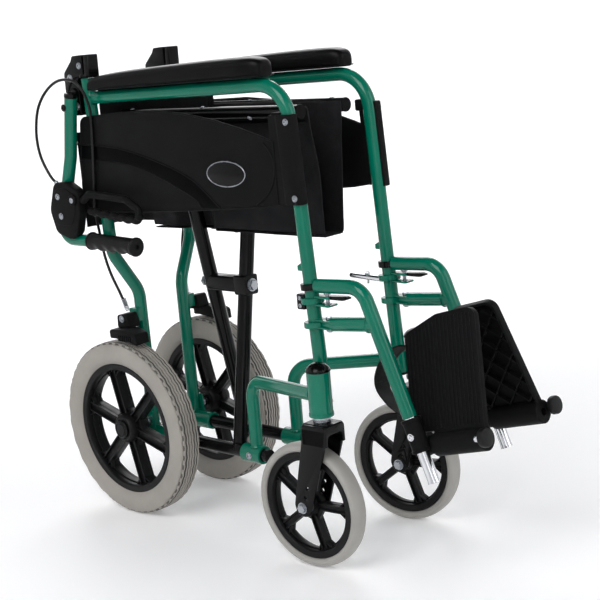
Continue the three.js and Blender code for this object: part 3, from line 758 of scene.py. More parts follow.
for side in ("left", "right"):
    place = Matrix.Translation(CASTER_AT) @ Matrix.Rotation(CASTER_YAW[side], 4, "Z")
    flip = side == "right"
    for name, shape, material, body, slot, node in (
        ("caster_tyre_skin", caster_tyre(), CASTER_TYRE, "caster_wheel_", "caster_grey", "caster_tyre_"),
        ("caster_rim_skin", caster_rim(), RIM, "caster_wheel_", "rim_plastic", "caster_rim_"),
        ("caster_fork_skin", caster_fork(), BLACK, "caster_", "black_paint", "caster_fork_"),
        ("caster_bolt", caster_axle(), ZINC, "caster_", "zinc", "caster_axle_"),
        ("caster_race", caster_race(), ZINC, "caster_", "zinc", None),
    ):
        nodes = [node + side] if node else []
        piece(name + "_" + side, placed(shape, place), material, body + side, flip, nodes)

# ---- Side frame ----------------------------------------------------------------------------

ARM_CORNER = post(746)
ARM_END = Vector((FRAME_X, 11.8, 735))


def weld(at, way, radius):
    """A bead of weld round the end of a tube."""
    def ripple(i, a):
        return (0.3 * math.sin(a * 34) if i == 1 else 0), 0
    return lathe([(radius, -2.4), (radius + 2, -0.6), (radius + 0.4, 1.6), (radius, -2.4)], at, way, 72,
                 ripple)


def collar(at, start, end, inner, outer, way=BACK):
    return lathe([(inner, start), (outer - 0.7, start), (outer, start + 0.7), (outer, end - 0.7),
                  (outer - 0.7, end), (inner, end), (inner, start)], at, way, 48)


arm = Shape().add(tube(bent([post(262), ARM_CORNER, ARM_END], 58, 14), TUBE))
arm.add(weld(ARM_END - BACK * 1.6, -BACK, TUBE))
pair("arm_tube", arm, GREEN, "frame", ["arm_frame"])

plug = Shape().add(lathe([(0, -4), (10.4, -4), (11.6, -3), (11.6, 0.4), (0, 0.4)], post(262),
                         (0, POST_LEAN, 1), 36))
pair("post_plug", plug, PLASTIC, "frame")

rear = Shape().add(tube(bent([(FRAME_X, 24, 768), (FRAME_X, 10, 466), (LOW_X, 0, 392), (LOW_X, 0, 139)],
                             55, 12), TUBE))
rear.add(collar((LOW_X, 0, LOW_Z), -50, 12, 11.5, 15.5))
rear.add(slab(fillet([(-9, 340), (9, 340), (9, 364), (-9, 364)], [0, 4, 4, 0]), LOW_X + 6, LOW_X + 20, 0.8))
rear.add(slab(fillet([(-18, 140), (18, 140), (14, 176), (-14, 176)], 6), LOW_X + 8, LOW_X + 11.3, 0.6))
rear.add(weld((LOW_X, 0, LOW_Z + 15), UP, TUBE))
pair("rear_tube", rear, GREEN, "frame", ["rear_post"])

leg = Shape().add(collar(CASTER_AT, 247, 317, 8.7, 18.4, UP))
leg.add(lathe([(17, 247.2), (18.9, 247.2), (19.3, 248), (19.3, 252), (18.9, 253), (17, 253), (17, 247.2)],
              CASTER_AT, UP, 48))
leg.add(tube(bent([(118, -467, 279), (LOW_X, -263, 259), (LOW_X, -262, 139)], 38, 12), TUBE))
leg.add(collar((LOW_X, 0, LOW_Z), -278, -234, 11.5, 15.5))
leg.add(weld((LOW_X, -262, LOW_Z + 15), UP, TUBE))
leg.add(weld((111.2, -464, 277.4), Vector((-0.32, 0.94, -0.09)), TUBE))
pair("leg_tube", leg, GREEN, "frame", ["front_leg"])

cap = Shape().add(lathe([(0, 316.4), (18.6, 316.4), (19.2, 317.2), (19, 319), (17, 322.6), (13.2, 326.4),
                         (8.4, 329.2), (4, 330.6), (0, 331)], CASTER_AT, UP, 48))
pair("housing_cap", cap, GLOSS, "frame")

# ---- Skirt guard, armrest, hinge bracket ---------------------------------------------------

GUARD_FACE = 107.3
guard_line = fillet([(36, 702), (-60, 709), (-155, 711), (-220, 706), (-290, 695), (-350, 681),
                     (-395, 668), (-418, 661), (-418, 566), (-385, 562), (-255, 553), (-110, 546),
                     (30, 541), (42, 552), (52, 580)],
                    [14, 60, 60, 60, 60, 60, 30, 0, 0, 60, 60, 60, 10, 14, 40])
guard = Shape().add(slab(guard_line, 103.3, GUARD_FACE, 1.2))


def on_guard(line):
    return [Vector((GUARD_FACE + 0.2, p.x, p.y)) for p in smooth([(a, b, 0) for a, b in line], 8)]


def ridge(scale=1.0):
    """A round section for ridges, seams and piping."""
    angles = [math.pi * k / 5 for k in range(10)]
    return [(1.5 * math.cos(a) * scale, 1.5 * math.sin(a) * scale) for a in angles]


def ring_faces(rows, count):
    """The faces between one row of points and the next, round a closed form."""
    return [[i * count + k, i * count + (k + 1) % count, (i + 1) * count + (k + 1) % count,
             (i + 1) * count + k] for i in range(rows - 1) for k in range(count)]


UPPER_ARC = [(52, 658), (-74, 648), (-217, 608), (-291, 557)]
LOWER_ARC = [(48, 632), (-96, 621), (-224, 576), (-249, 556)]
FRONT_ARC = [(-398, 659), (-414, 640), (-416, 612), (-402, 584), (-373, 563)]
for arc in (UPPER_ARC, LOWER_ARC, FRONT_ARC):
    guard.add(sweep(on_guard(arc), ridge()))
rim_line = [Vector((GUARD_FACE - 0.6, y, z)) for y, z in guard_line]
guard.add(sweep(rim_line + [rim_line[0]], ridge(1.1)))
SLEEVE_X, SLEEVE_R = FRAME_X + 1, 14.8
sleeve = fillet([(FRAME_X - 2, -SLEEVE_R), (SLEEVE_X + SLEEVE_R, -SLEEVE_R), (SLEEVE_X + SLEEVE_R, 13),
                 (GUARD_FACE - 0.8, 17), (GUARD_FACE - 0.8, 31), (GUARD_FACE - 6, 31), (GUARD_FACE - 8, 15),
                 (FRAME_X - 2, 14)], [2, 9, 4, 3, 0, 0, 4, 2], 5)
verts, count = [], len(sleeve)
for z, shrink in ((566, 1.4), (567.4, 0), (699, 0), (700.6, 1.4)):
    for x, y in sleeve:
        inward = (Vector((SLEEVE_X, 0)) - Vector((x, y))).normalized() * shrink
        verts.append((x + inward.x, y + inward.y + post(z).y, z))
ends = [list(range(count)), [3 * count + k for k in range(count)]]
guard.add((verts, ends + ring_faces(4, count)))
guard.add(slab(fillet([(-433, 686), (-415, 686), (-415, 704), (-433, 704)], 3), 88, 103.6, 1.4))
pair("guard", guard, PLASTIC, "frame", ["skirt_guard"])

frame_screws = Shape()
for x, y, z, radius in (
    (LOW_X + 15.2, -19, LOW_Z, 4.2), (LOW_X + 15.2, -256, LOW_Z, 4.2), (LOW_X + 15.2, -2, LOW_Z, 3.2),
    (SLEEVE_X + SLEEVE_R, -448, 690, 3.6), (SLEEVE_X + SLEEVE_R, -454, 576, 3.6),
    (FRAME_X + 12, 56, 770, 4.6), (FRAME_X + 12, 44, 722, 4.6), (FRAME_X + 12, 28, 790, 4),
):
    frame_screws.add(screw((x, y, z), OUT, radius))
pair("frame_screws", frame_screws, ZINC, "frame")

upper = [(p.y, p.z) for p in on_guard(UPPER_ARC)]
lower = [(p.y, p.z) for p in on_guard(LOWER_ARC)]
pair("guard_band", Shape().add(slab(upper + lower[::-1], GUARD_FACE - 0.6, GUARD_FACE + 0.5, 0.2)),
     DARK_PLASTIC, "frame")
pair("guard_badge", Shape().add(slab(oval(-311, 611, 41, 18.5), GUARD_FACE - 0.5, GUARD_FACE + 1.8, 0.7)),
     GLOSS, "frame")
badge_rim = [Vector((GUARD_FACE + 0.5, y, z)) for y, z in oval(-311, 611, 42.2, 19.7, 64)]
pair("guard_badge_rim", Shape().add(sweep(badge_rim + [badge_rim[0]], ridge(0.7))), ZINC, "frame")


def pad_under(y):
    rise = (746 - 735) / (24 + 439.5)
    return 735 + (24 - y) * rise + TUBE + 0.4


def armrest():
    """The pad: a row of rounded sections from the rear to a nose that rounds off at the front."""
    tops = [(0, 761), (-2, 765), (-7, 768.6), (-20, 771.5), (-50, 775), (-90, 778), (-150, 781),
            (-220, 784), (-290, 786.6), (-340, 787.8), (-358, 787.8)]
    half_widths = [22, 23.6, 24.6, 25, 25, 25, 25, 25, 25, 25, 24.9]
    for k in range(1, 13):
        a = math.pi / 2 * k / 12
        tops.append((-358 - 46 * math.sin(a), 787.8 - 15 * (1 - math.cos(a)) ** 1.4))
        half_widths.append(24.9 * (0.2 + 0.8 * math.cos(a) ** 0.75))
    verts, count = [], 48
    rows = smooth([(half, y, top) for (y, top), half in zip(tops, half_widths)], 3)
    for half, y, top in rows:
        low = pad_under(y)
        rise = top - low
        for k in range(count):
            a = 2 * math.pi * k / count
            c, s = math.cos(a), math.sin(a)
            x = half * math.copysign(abs(c) ** 0.5, c)
            up = rise * (0.45 + 0.55 * s ** 0.78) if s > 0 else rise * (0.45 - 0.45 * abs(s) ** 0.4)
            verts.append((FRAME_X + x, y, low + up))
    ends = [list(range(count)), [len(verts) - count + k for k in range(count)]]
    return Shape().add((verts, ring_faces(len(rows), count) + ends))


for side in ("left", "right"):
    pad = piece("arm_pad_" + side, armrest(), VINYL, "frame_" + side, side == "right",
                ["armrest_pad_" + side])
seam = [Vector((FRAME_X + 24.6 * math.copysign(abs(math.cos(a)) ** 0.3, math.cos(a)),
                -202 + 199 * math.copysign(abs(math.sin(a)) ** 0.12, math.sin(a)), 0))
        for a in [2 * math.pi * k / 96 for k in range(97)]]
seam = [Vector((p.x, p.y, pad_under(p.y) + 2.4)) for p in seam]
pair("pad_seam", Shape().add(sweep(seam, ridge(0.7))), VINYL, "frame")

bracket_line = fillet([(5, 769), (4, 808), (14, 808), (16, 775), (20, 775), (20, 808), (46, 807), (50, 799),
                       (72, 779), (74, 706), (36.5, 706), (36.5, 769)],
                      [0, 3, 3, 2, 2, 3, 5, 10, 8, 5, 3, 0], 4)
bracket = Shape()
bracket.add(slab(bracket_line, FRAME_X - 12, FRAME_X + 12, 1.6))
bracket.add(capped([(FRAME_X + 10, 49, 745), (BACK_X - TUBE - 0.4, 49, 745)], 8, 32, 1))
bracket.add(collar((FRAME_X, 24, 0), 769, 776, 11.2, 13.4, UP))
pair("bracket", bracket, GLOSS, "frame", ["hinge_bracket"])

# ---- Folding back, grip and brake ----------------------------------------------------------

back_line = bent([(BACK_X, 40, 742), (BACK_X, 60, 636), (BACK_X, 112, 492), (BACK_X, 30, 491.5)],
                 [60, 26], 14)
pair("back_rod", Shape().add(tube(back_line, TUBE)), GREEN, "back", ["back_tube"])
tube_top = Shape().add(capped([(BACK_X, 39.2, 746), (BACK_X, 41, 737)], 11.7, 32, 2.4))
tube_top.add(screw((BACK_X + 11, 49, 722), OUT, 4.4))
pair("back_plug", tube_top, GLOSS, "back")


def grip():
    """A rubber grip with finger waves underneath and a flange at each end."""
    start, end = Vector((BACK_X, 29, 491.4)), Vector((BACK_X, -91, 486.5))
    length = (end - start).length
    body = [(3 + k * 1.5, 14.0) for k in range(1, int((length - 8) / 1.5))]
    profile = [(0, 0), (13, 0), (15.6, 0.8), (16, 2.4), (15.4, 4)]
    first = len(profile)
    profile += [(r, along) for along, r in body]
    last = len(profile)
    profile += [(15.2, length - 5.4), (16.4, length - 4), (16.4, length - 1.4), (15.2, length),
                (4.4, length), (4, length - 4), (0, length - 4.4)]

    def waves(i, a):
        if not first <= i < last:
            return 0, 0
        along = profile[i][1]
        under = max(0.0, math.sin(a)) ** 0.8
        ribs = 0.25 * math.cos(2 * math.pi * along / 3)
        return under * 1.9 * (math.cos(2 * math.pi * (along - 6) / 26) - 0.4) + ribs * (1 - under), 0

    return Shape().add(lathe(profile, start, end - start, 56, waves))


pair("grip", grip(), RUBBER, "back", ["push_grip"])

housing_line = fillet([(94, 594), (60, 596), (28, 580), (30, 542), (42, 506), (62, 495), (100, 505),
                       (113, 545)], [16, 14, 14, 20, 16, 14, 16, 24], 6)
housing = Shape().add(slab(housing_line, BACK_X + 1, BACK_X + 19, 3))
inner_line = fillet([(88, 584), (64, 586), (37, 573), (40, 543), (54, 519), (99, 521), (106, 546)],
                    [14, 12, 12, 18, 16, 14, 20], 6)
housing.add(slab(inner_line, BACK_X + 18, BACK_X + 20, 0.9))
housing.add(lathe([(0, 0), (10, 0), (10, 3.4), (8.6, 4.6), (0, 4.6)], (BACK_X + 19, 42, 565), OUT, 36))
pair("brake_body", housing, PLASTIC, "back", ["brake_housing"])
brake_metal = Shape().add(screw((BACK_X + 20, 80, 536), OUT, 4)).add(screw((BACK_X + 20, 84, 570), OUT, 4))
brake_metal.add(screw((BACK_X + 23.4, 42, 565), OUT, 3.4, 2))
brake_metal.add(capped([(BACK_X + 10, 90, 586), (BACK_X + 10, 97, 595)], 4, 24, 0.8))
pair("brake_metal", brake_metal, ZINC, "back")


def lever():
    """A loop of bar, waved where the fingers pull, with a ball at its tip."""
    x = BACK_X + 10
    run = bent([(x, 27.5, 563), (x, 8, 575), (x, -86, 569), (x, -120, 552), (x, -114, 533),
                (x, -60, 538), (x, 10, 546)], [10, 20, 9, 7, 20], 8)
    fine = [run[0].copy()]
    for a, b in zip(run, run[1:]):
        steps = max(1, int((b - a).length / 3))
        fine += [a.lerp(b, k / steps) for k in range(1, steps + 1)]
    for p in fine:
        if p.z < 548 and -104 < p.y < 0:
            p.z -= 1.4 * math.cos(p.y * 2 * math.pi / 22)
    angles = [math.pi * (k / 10 - 0.5) for k in range(1, 10)]
    ball = [(7.4 * math.cos(a), 7.4 * math.sin(a)) for a in angles]
    return Shape().add(tube(fine, 6.4, 24)).add(lathe([(0, -7.4), *ball, (0, 7.4)], (x, -118, 540), OUT, 28))


pair("lever_bar", lever(), PLASTIC, "lever", ["brake_lever"])

CABLE_RUN = [(BACK_X + 10, 95, 592), (BACK_X + 10, 112, 606), (BACK_X + 11, 131, 640),
             (BACK_X + 11, 135, 680), (BACK_X + 9, 124, 722), (BACK_X + 6, 98, 752),
             (BACK_X + 5, 62, 768), (BACK_X + 4, 24, 766), (BACK_X, 6, 748), (BACK_X - 6, 2, 722),
             (FRAME_X + 18, 4, 690), (FRAME_X + 19, 8, 640), (FRAME_X + 19, 14, 590),
             (FRAME_X + 19, 20, 545), (FRAME_X + 8, 28, 500), (FRAME_X, 32, 460), (FRAME_X - 8, 30, 425),
             (FRAME_X - 16, 22, 392), (FRAME_X - 20, 14, 366)]


def blended(name, solid, material, node, side):
    """One side's soft piece, built in place without a body, with the part it stands for hidden."""
    flip = side == "right"
    made = build(name + "_" + side, Shape().add(solid), material, flip)
    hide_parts(node + "_" + side)
    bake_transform(made)
    return made


for side in ("left", "right"):
    blended("cable", tube(smooth(CABLE_RUN, 6), 2.5, 16), SLEEVE, "brake_cable",
            side)

shoe_line = fillet([(14, 318.6), (15, 334), (-30, 337), (-54, 330), (-56, 311), (-30, 316), (0, 319)],
                   [3, 5, 12, 6, 2, 20, 20], 4)
shoe = Shape().add(slab(shoe_line, WHEEL_X - 15, WHEEL_X + 15, 1.6))
for k in range(7):
    y = -40 + 5 * k
    shoe.add(slab(fillet(rectangle(y - 1.4, y + 1.4, 316, 326), 1), WHEEL_X + 14,
                  WHEEL_X + 16.6, 0.5))
shoe.add(slab(fillet([(14, 332), (12, 356), (-12, 360), (-20, 334)], 5), LOW_X + 20.4, 96, 1.2))
pair("shoe", shoe, PLASTIC, "shoe", ["brake_shoe"])
shoe_metal = Shape().add(screw((96, 0, 350), OUT, 4.4))
SPRING_TURNS, SPRING_STEPS, SPRING_R = 9, 90, 4
spring = []
for k in range(SPRING_STEPS + 1):
    t = k / SPRING_STEPS
    a = 2 * math.pi * SPRING_TURNS * t
    centre = Vector((74, 17, 382)).lerp(Vector((72, 11, 360)), t)
    spring.append(centre + Vector((SPRING_R * math.cos(a), SPRING_R * math.sin(a), 0)))
shoe_metal.add(tube(spring, 0.8, 8))
pair("shoe_metal", shoe_metal, ZINC, "shoe")

# ---- Footrests -----------------------------------------------------------------------------

FOOT_LEAN, PLATE_RISE, PLATE_TILT = math.radians(21.5), math.radians(14), math.radians(15.5)
FOOT_DOWN = Vector((0, -math.sin(FOOT_LEAN), -math.cos(FOOT_LEAN)))
HANGER_CORNER = Vector((FRAME_X, -558, 446))
POST_WAY = (0, POST_LEAN, 1)


def down_tube(distance):
    return HANGER_CORNER + FOOT_DOWN * distance


hanger = Shape().add(tube(bent([(FRAME_X, -470, 442), HANGER_CORNER, down_tube(202)], 34, 14), TUBE))
low_end = down_tube(58)
neck = [Vector((FRAME_X, -479, 384)), Vector((FRAME_X, -487, 384.4)), Vector((FRAME_X, -497, 385.2)),
        low_end]
hanger.add(tube(neck, TUBE, 28, [0.62, 0.72, 1, 1]))
for z in (382.5, 419.5):
    hanger.add(collar(post(z), -4.5, 4.5, 11.5, 18, POST_WAY))
for z0, z1 in ((377.6, 380.4), (388.6, 391.4), (412.6, 415.4), (425, 427.8)):
    tab = fillet([(-466, FRAME_X - 8), (-466, FRAME_X + 8), (-500, FRAME_X + 12), (-500, FRAME_X - 12)], 4)
    hanger.add(slab([(x, y) for y, x in tab], z0, z1, 0.5, onto="z"))
hanger.add(weld(low_end - Vector((0, -1, 0.08)) * 12, Vector((0, 1, 0)), TUBE))
pair("hanger_tube", hanger, GREEN, "footrest", ["hanger"])
ring_black = Shape().add(collar(post(441), -5, 5, 11.5, 16, POST_WAY))
pair("post_ring", ring_black, GLOSS, "frame")
hanger_metal = Shape()
for z in (379, 418):
    hanger_metal.add(capped([(FRAME_X, -489, z - 7), (FRAME_X, -489, z + 15)], 3, 16, 0.6))
    hanger_metal.add(nut((FRAME_X, -489, z + 12.4), UP, 5.4, 4.4))
    hanger_metal.add(nut((FRAME_X, -489, z - 1.4), -UP, 5.4, 4.4))
pair("hanger_bolts", hanger_metal, ZINC, "footrest")

latch_line = fillet([(-498, 424), (-498, 429), (-524, 430), (-536, 427), (-524, 424)], [1, 1, 6, 2, 6], 4)
pair("latch_lever", Shape().add(slab(latch_line, FRAME_X - 7, FRAME_X + 7, 1)), GLOSS, "latch",
     ["hanger_latch"])

stem = lathe([(6.8, 202.3), (9, 202.3), (9, 297), (9.8, 302), (8.6, 302.4), (6.8, 297), (6.8, 202.3)],
             HANGER_CORNER, FOOT_DOWN, 40)
pair("stem", Shape().add(stem), CHROME, "footrest", ["foot_stem"])

HINGE_WAY = Vector((0, -math.cos(PLATE_RISE), math.sin(PLATE_RISE)))
PLATE_HINGE = Vector((72, -664, 217))


def on_hinge(distance):
    return PLATE_HINGE + HINGE_WAY * distance


clamp = Shape().add(collar(HANGER_CORNER, 204, 254, 9.4, 14, FOOT_DOWN))
clamp.add(collar(HANGER_CORNER, 203.6, 209, 9.4, 15.2, FOOT_DOWN))
clamp.add(collar(HANGER_CORNER, 249, 254.4, 9.4, 15.2, FOOT_DOWN))
clamp.add(capped([on_hinge(-26), on_hinge(-0.4)], 14, 40, 1.6))
arm_line = fillet([(-656, 199), (-634, 199), (-634, 227), (-656, 227)], 4)
clamp.add(slab(arm_line, PLATE_HINGE.x, FRAME_X - 4, 1.4))
pair("clamp", clamp, PLASTIC, "foot_clamp", ["foot_hinge"])
pin = Shape().add(capped([on_hinge(-1), on_hinge(70)], 6, 28, 0.8))
pin.add(screw(down_tube(229) + OUT * 13.6, OUT, 4))
pair("clamp_pin", pin, CHROME, "foot_clamp")

plate_up = Vector((0, math.sin(PLATE_RISE), math.cos(PLATE_RISE)))
plate_across = plate_up * math.cos(PLATE_TILT) + Vector((-math.sin(PLATE_TILT), 0, 0))
plate_under = HINGE_WAY.cross(plate_across)
plate_turn = Matrix((HINGE_WAY, plate_across, plate_under)).transposed().to_4x4()
PLATE = Matrix.Translation(PLATE_HINGE) @ plate_turn

board_line = fillet([(-42, 19), (0, 19), (0, 8), (92, 8), (92, 190), (20, 188), (-42, 167)],
                    [3, 0, 0, 3, 16, 30, 14], 6)
inside_line = fillet([(-38, 23), (4, 23), (4, 14), (88, 14), (88, 186), (21, 184), (-38, 164)],
                     [2, 0, 0, 2, 12, 26, 10], 6)
board = Shape().add(slab(board_line, -6.6, -2.6, 1.2, onto="z"), PLATE)
board.add(slab(board_line, -4, 6, 1.1, [inside_line], "z"), PLATE)


def on_plate(x, y, z):
    return PLATE @ Vector((x, y, z))


def board_top(x):
    """Where the board's far edge lies, for treads and ribs: it slopes away below x = 20."""
    return 182 if x > 20 else 182 - (20 - x) * 0.34


for k in range(18):
    x = -34 + 7 * k
    tread = [on_plate(x, y, -6.4) for y in (22 if x > 2 else 27, board_top(x))]
    board.add(capped(tread, 1.4, 10, 0.5))
RIB_ENDS, RIB_PITCH, RIB_STEPS = (-38, 88), 36, 60
for way in (-1, 1):
    for k in range(-3, 6):
        x0, x1 = RIB_ENDS
        y0, y1 = (40 + k * RIB_PITCH + way * (x - 25) for x in RIB_ENDS)
        cuts = []
        for t in [i / RIB_STEPS for i in range(RIB_STEPS + 1)]:
            x, y = x0 + (x1 - x0) * t, y0 + (y1 - y0) * t
            if 20 < y < min(180, board_top(x)):
                cuts.append((x, y))
        if len(cuts) > 4:
            a, b = (on_plate(*cut, 1.2) for cut in (cuts[0], cuts[-1]))
            board.add(bar_between(a, b, 8.4, 2.2, plate_across))
barrel = [(6.5, 0), (16.4, 0), (18, 1.6), (18, 90.4), (16.4, 92), (6.5, 92), (6.5, 0)]
board.add(lathe(barrel, (0, 0, 0), OUT, 48), PLATE)
pair("board", board, PLASTIC, "plate", ["footplate"])
knob_pin = Shape().add(capped([on_plate(84, 0, -15), on_plate(97, 0, -17)], 6, 24, 0.8))
pair("knob_pin", knob_pin, CHROME, "plate")
knob = Shape().add(capped([on_plate(96, 0, -17), on_plate(107, 0, -17)], 14, 44, 2.6))
pair("stop_knob", knob, RUBBER, "plate")

TAB_Z = 470
tab_y = post(TAB_Z).y
tab_line = fillet([(tab_y + 8, TAB_Z - 6), (tab_y + 19, TAB_Z - 6), (tab_y + 19, TAB_Z + 2),
                   (tab_y + 8, TAB_Z + 8)], [0, 2, 2, 0])
pair("post_tabs", Shape().add(slab(tab_line, FRAME_X - 5, FRAME_X + 5, 0.8)), GREEN, "frame")
catch = Shape().add(capped([(FRAME_X, -444, 414), (FRAME_X, -376, 417)], 4.8, 24, 0.8))
catch.add(capped([(FRAME_X, -412, 405), (FRAME_X, -412, 426)], 2.4, 16, 0.6))
catch.add(nut((FRAME_X, -412, 420), UP, 4.6, 3.4))
piece("catch_bar", catch, CHROME, "frame_left")
stop = Shape().add(slab(fillet(rectangle(-446, -430, 404, 428), 2.4), FRAME_X - 6, FRAME_X + 6, 1))
piece("catch_block", stop, GLOSS, "frame_right", True)
stop_screws = Shape()
for z in (422, 410):
    stop_screws.add(screw((FRAME_X + 6, -437, z), OUT, 2.6, 2))
piece("catch_screws", stop_screws, ZINC, "frame_right", True)

# ---- Cross brace ---------------------------------------------------------------------------

LEG_R = 12.5
FOOT_ENDS, RAIL_ENDS = (-291, 13), (-429, -13)  # front and rear ends of a member's two long tubes


def member(leg_y, bracket_box):
    """A brace member: its foot tube, the slanting leg with a weld at each end, and its bracket."""
    made = Shape().add(tube([(LOW_X, y, LOW_Z) for y in FOOT_ENDS], TUBE))
    made.add(tube([(LOW_X, leg_y, LOW_Z), (-RAIL_X, leg_y, RAIL_Z)], LEG_R))
    x, y0, y1, z = bracket_box
    made.add(slab(fillet(rectangle(-x, x, PIVOT.z - z, PIVOT.z + z), 4), y0, y1, 1.2,
                  [oval(0, PIVOT.z, 5.4, 5.4, 24)], "y"))
    way = Vector((-RAIL_X - LOW_X, 0, RAIL_Z - LOW_Z)).normalized()
    made.add(weld(Vector((LOW_X, leg_y, LOW_Z)) + way * 12.6, way, LEG_R))
    made.add(weld(Vector((-RAIL_X, leg_y, RAIL_Z)) - way * 12.6, -way, LEG_R))
    return made


def member_ends():
    """End plugs for the foot tube and the seat rail."""
    made = Shape()
    plug = [(0, 0.9), (8, 1.2), (10.8, 0.6), (11.4, -0.6), (11.4, -2.4), (0, -2.4)]
    for x, z, ends in ((LOW_X, LOW_Z, FOOT_ENDS), (-RAIL_X, RAIL_Z, RAIL_ENDS)):
        for y, way in zip(ends, (-1, 1)):
            made.add(lathe(plug, (x, y, z), BACK * way, 36))
    return made


RAIL_X, RAIL_Z = RAIL.x, RAIL.z
PIVOT_BOX = {"right": (15, -234, -206, 17), "left": (13, -205.7, -138, 13)}
for side in ("right", "left"):
    flip = side == "right"
    piece("cross_" + side, member(LEG_Y[side], PIVOT_BOX[side]), BLACK, "brace_" + side, flip,
          ["cross_member_" + side])
    piece("cross_plugs_" + side, member_ends(), PLASTIC, "brace_" + side, flip)
    rail = Shape().add(tube([(-RAIL_X, y, RAIL_Z) for y in RAIL_ENDS], TUBE))
    piece("seat_rail_" + side, rail, GLOSS, "brace_" + side, flip)
    screws = Shape()
    for y in (-399, -215, -40):
        screws.add(screw((-RAIL_X - 1.5, y, RAIL_Z + 10.6), Vector((-0.14, 0, 0.99)), 2.8, 1.8))
    screws.add(screw((-RAIL_X - 8, -327, RAIL_Z - 7.4), Vector((-0.73, 0, -0.68)), 2.8, 1.8))
    piece("rail_screws_" + side, screws, ZINC, "brace_" + side, flip)

bolt = Shape().add(capped([(0, -237, PIVOT.z), (0, -119, PIVOT.z)], 5, 24, 0.6))
bolt.add(lathe([(0, -236.2), (11, -236.2), (11, -234.4), (0, -234.4)], (0, 0, PIVOT.z), BACK, 32))
bolt.add(nut((0, -236.2, PIVOT.z), -BACK, 9, 5.6)).add(nut((0, -125.2, PIVOT.z), BACK, 9, 7))
piece("pivot_skin", bolt, ZINC, "brace_right", False, ["pivot_bolt"])

# ---- Cloth ---------------------------------------------------------------------------------

def resampled(line, step):
    points = [Vector(p) for p in line]
    lengths = [0.0]
    for a, b in zip(points, points[1:]):
        lengths.append(lengths[-1] + (b - a).length)
    count = max(2, round(lengths[-1] / step))
    out = []
    for k in range(count + 1):
        want = lengths[-1] * k / count
        i = min(max(n for n, v in enumerate(lengths) if v <= want + 1e-9), len(points) - 2)
        out.append(points[i].lerp(points[i + 1], (want - lengths[i]) / (lengths[i + 1] - lengths[i])))
    return out, lengths[-1]


def cloth(line, along, place, thickness, wave, holes=None, step=5.0, pull=None):
    """A sheet on a flat route, swept from along[0] to along[1]. place(a, b, c) gives the point,
    wave(s, t) the height of its creases, holes(s, t) where it is cut away, and pull(p, t) where
    a point of the route is drawn to."""
    route, length = resampled([(*p, 0) for p in line], step)
    start, end = along
    columns = max(2, round(abs(end - start) / step))
    rows = len(route)
    top, low = [], []
    for i, p in enumerate(route):
        way = (route[min(i + 1, rows - 1)] - route[max(i - 1, 0)]).normalized()
        normal = Vector((way.y, -way.x, 0))
        for k in range(columns + 1):
            t = start + (end - start) * k / columns
            lift = wave(length * i / (rows - 1), t)
            for offset, out in ((thickness / 2, top), (-thickness / 2, low)):
                q = (pull(p, t) if pull else p) + normal * (lift + offset)
                out.append(place(q.x, q.y, t))
    cells = []
    for i in range(rows - 1):
        for k in range(columns):
            s = length * (i + 0.5) / (rows - 1)
            t = start + (end - start) * (k + 0.5) / columns
            if holes is None or not holes(s, t):
                a = i * (columns + 1) + k
                cells.append([a, a + 1, a + columns + 2, a + columns + 1])
    used = {}
    for cell in cells:
        for a, b in zip(cell, cell[1:] + cell[:1]):
            used[frozenset((a, b))] = used.get(frozenset((a, b)), 0) + 1
    count = len(top)
    faces = [c[:] for c in cells] + [[v + count for v in reversed(c)] for c in cells]
    for cell in cells:
        for a, b in zip(cell, cell[1:] + cell[:1]):
            if used[frozenset((a, b))] == 1:
                faces.append([b, a, a + count, b + count])
    kept = sorted({v for f in faces for v in f})
    number = {v: n for n, v in enumerate(kept)}
    everything = top + low
    return [everything[v] for v in kept], [[number[v] for v in f] for f in faces], length


def creases(seed, size):
    def wave(s, t):
        return size * (0.45 * math.sin(t / 31 + seed + 0.8 * math.sin(s / 47 + seed))
                       + 0.35 * math.sin(s / 23 + t / 59 + 2 * seed)
                       + 0.2 * math.sin(t / 11 + s / 17 + 3 * seed))
    return wave


def along_y(a, b, c):
    return Vector((a, c, b))


def along_z(a, b, c):
    return Vector((a, b, c))


WALL_TOP, FLOOR_Z, FLOOR_X = RAIL_Z + 6, 502.2, 22
LEG_SIDE, LEG_FADE = LEG_R + 6, 30
WALL_TOP_X = RAIL_X - TUBE - 2.4
SLOPE = (WALL_TOP_X - FLOOR_X) / (WALL_TOP - FLOOR_Z)


def beside_leg(t, y):
    """1 beside a brace leg, falling to 0 a little way off it."""
    v = max(0.0, min(1.0, 1 - (abs(t - y) - LEG_SIDE) / LEG_FADE))
    return v * v * (3 - 2 * v)


def drawn_in(height, t, y):
    """How much of its distance from the middle the cloth keeps where it passes inside a leg."""
    inner = RAIL_X * (height - PIVOT.z) / (RAIL_Z - PIVOT.z) - 1.02 * LEG_R - 3
    wall_x = FLOOR_X + max(0, height - FLOOR_Z) * SLOPE
    return 1 - beside_leg(t, y) * max(0, 1 - max(inner, 1) / wall_x)


def sling(floor_reach, leg_y, seed):
    """Half the hanging seat: a wall down from the rail and, with floor_reach, the fold's floor."""
    line = [(-WALL_TOP_X, WALL_TOP), (-FLOOR_X - 0.6, FLOOR_Z + 5)]
    wall = WALL_TOP - FLOOR_Z
    if floor_reach:
        line += [(-FLOOR_X + 3.4, FLOOR_Z), (floor_reach, FLOOR_Z)]
    quiet = creases(seed, 2.2)

    def wave(s, t):
        front = max(0.0, min(1.0, (-330 - t) / 100))
        sag = 0 if floor_reach else -7 * front * math.sin(math.pi * min(1, s / wall))
        free = 1 - max(beside_leg(t, y) for y in leg_y)
        return quiet(s, t) * min(1, s / 30) * (1 if s < wall - 20 else 0.25) * free + sag

    def pull(p, t):
        return Vector((p.x * drawn_in(p.y, t, leg_y[0] if p.x < 0 else leg_y[-1]), p.y, 0))

    return cloth(line, (-430, -30), along_y, 1.6, wave, pull=pull)


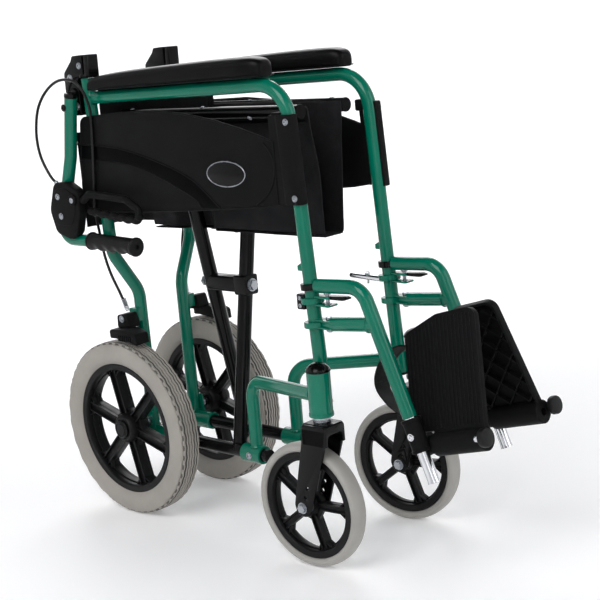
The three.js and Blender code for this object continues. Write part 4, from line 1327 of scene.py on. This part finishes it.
for side in ("left", "right"):
    flip = side == "left"
    floor_reach = FLOOR_X - 1 if flip else 0
    legs = (LEG_Y["right"], LEG_Y["left"]) if flip else (LEG_Y["left"],)
    verts, faces, length = sling(floor_reach, legs, 1.3 if flip else 4.1)
    wall = build("sling_" + side, Shape().add((verts, faces)), NYLON, flip)
    if flip:
        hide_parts("seat_left", "seat_centre")
        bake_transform(wall)
    else:
        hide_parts("seat_right")
        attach(wall, "seat_cloth_right")
    threads = Shape()
    for drop in (7, 11, 24):
        x = RAIL_X - TUBE - 1.4 - drop * SLOPE
        row = [Vector((-x * drawn_in(WALL_TOP - drop, y, legs[0]), y, WALL_TOP - drop))
               for y in range(-426, -33, 8)]
        threads.add(sweep(row, ridge(0.7)))
    piece("sling_stitch_" + side, threads, WEBBING, "seat_cloth_" + side, flip)


def back_cloth(route, low, high, thickness, seed, size, holes=None):
    calm = creases(seed, size)
    total = sum((Vector(b) - Vector(a)).length for a, b in zip(route, route[1:]))

    def wave(s, t):
        return calm(s, t * 1.7) * min(1, s / 40) * min(1, (total - s) / 20)

    return cloth(route, (low, high), along_z, thickness, wave, holes)


def hinge_corner(s, t):
    """Cut away where the raised back's bracket stands."""
    return s < 30 and t > 676


for side in ("left", "right"):
    verts, faces, length = back_cloth([(80, 14.6), (30, 0.4), (22, -6), (6.6, -177)], 560, 762, 2, 0.7, 2.2)
    lower_cloth = blended("lower_cloth", (verts, faces), NYLON, "back_lower",
                          side)
    verts, faces, length = back_cloth([(104, 55.6), (26, 40), (17, 33), (3.2, -132)], 512, 702, 1.8, 2.9,
                                      2.2, hinge_corner)
    upper_cloth = blended("upper_cloth", (verts, faces), NYLON, "back_upper",
                          side)

strap_route = [(-44.6, 150), (-66, 146), (-84, 134), (-98, 112), (-98, 92), (-84, 72), (-66, 56),
               (-44.6, 44)]
strap_curve = [(p.x, p.y) for p in smooth([(a, b, 0) for a, b in strap_route], 5)]
verts, faces, length = cloth(strap_curve, (-17, 15), along_z, 2.2, lambda s, t: 0.0, step=4.0)
strap = Shape().add((verts, faces), PLATE)
for side in ("left", "right"):
    band = piece("heel_band_" + side, strap, WEBBING, "plate_" + side, side == "right",
                 ["heel_strap_" + side])
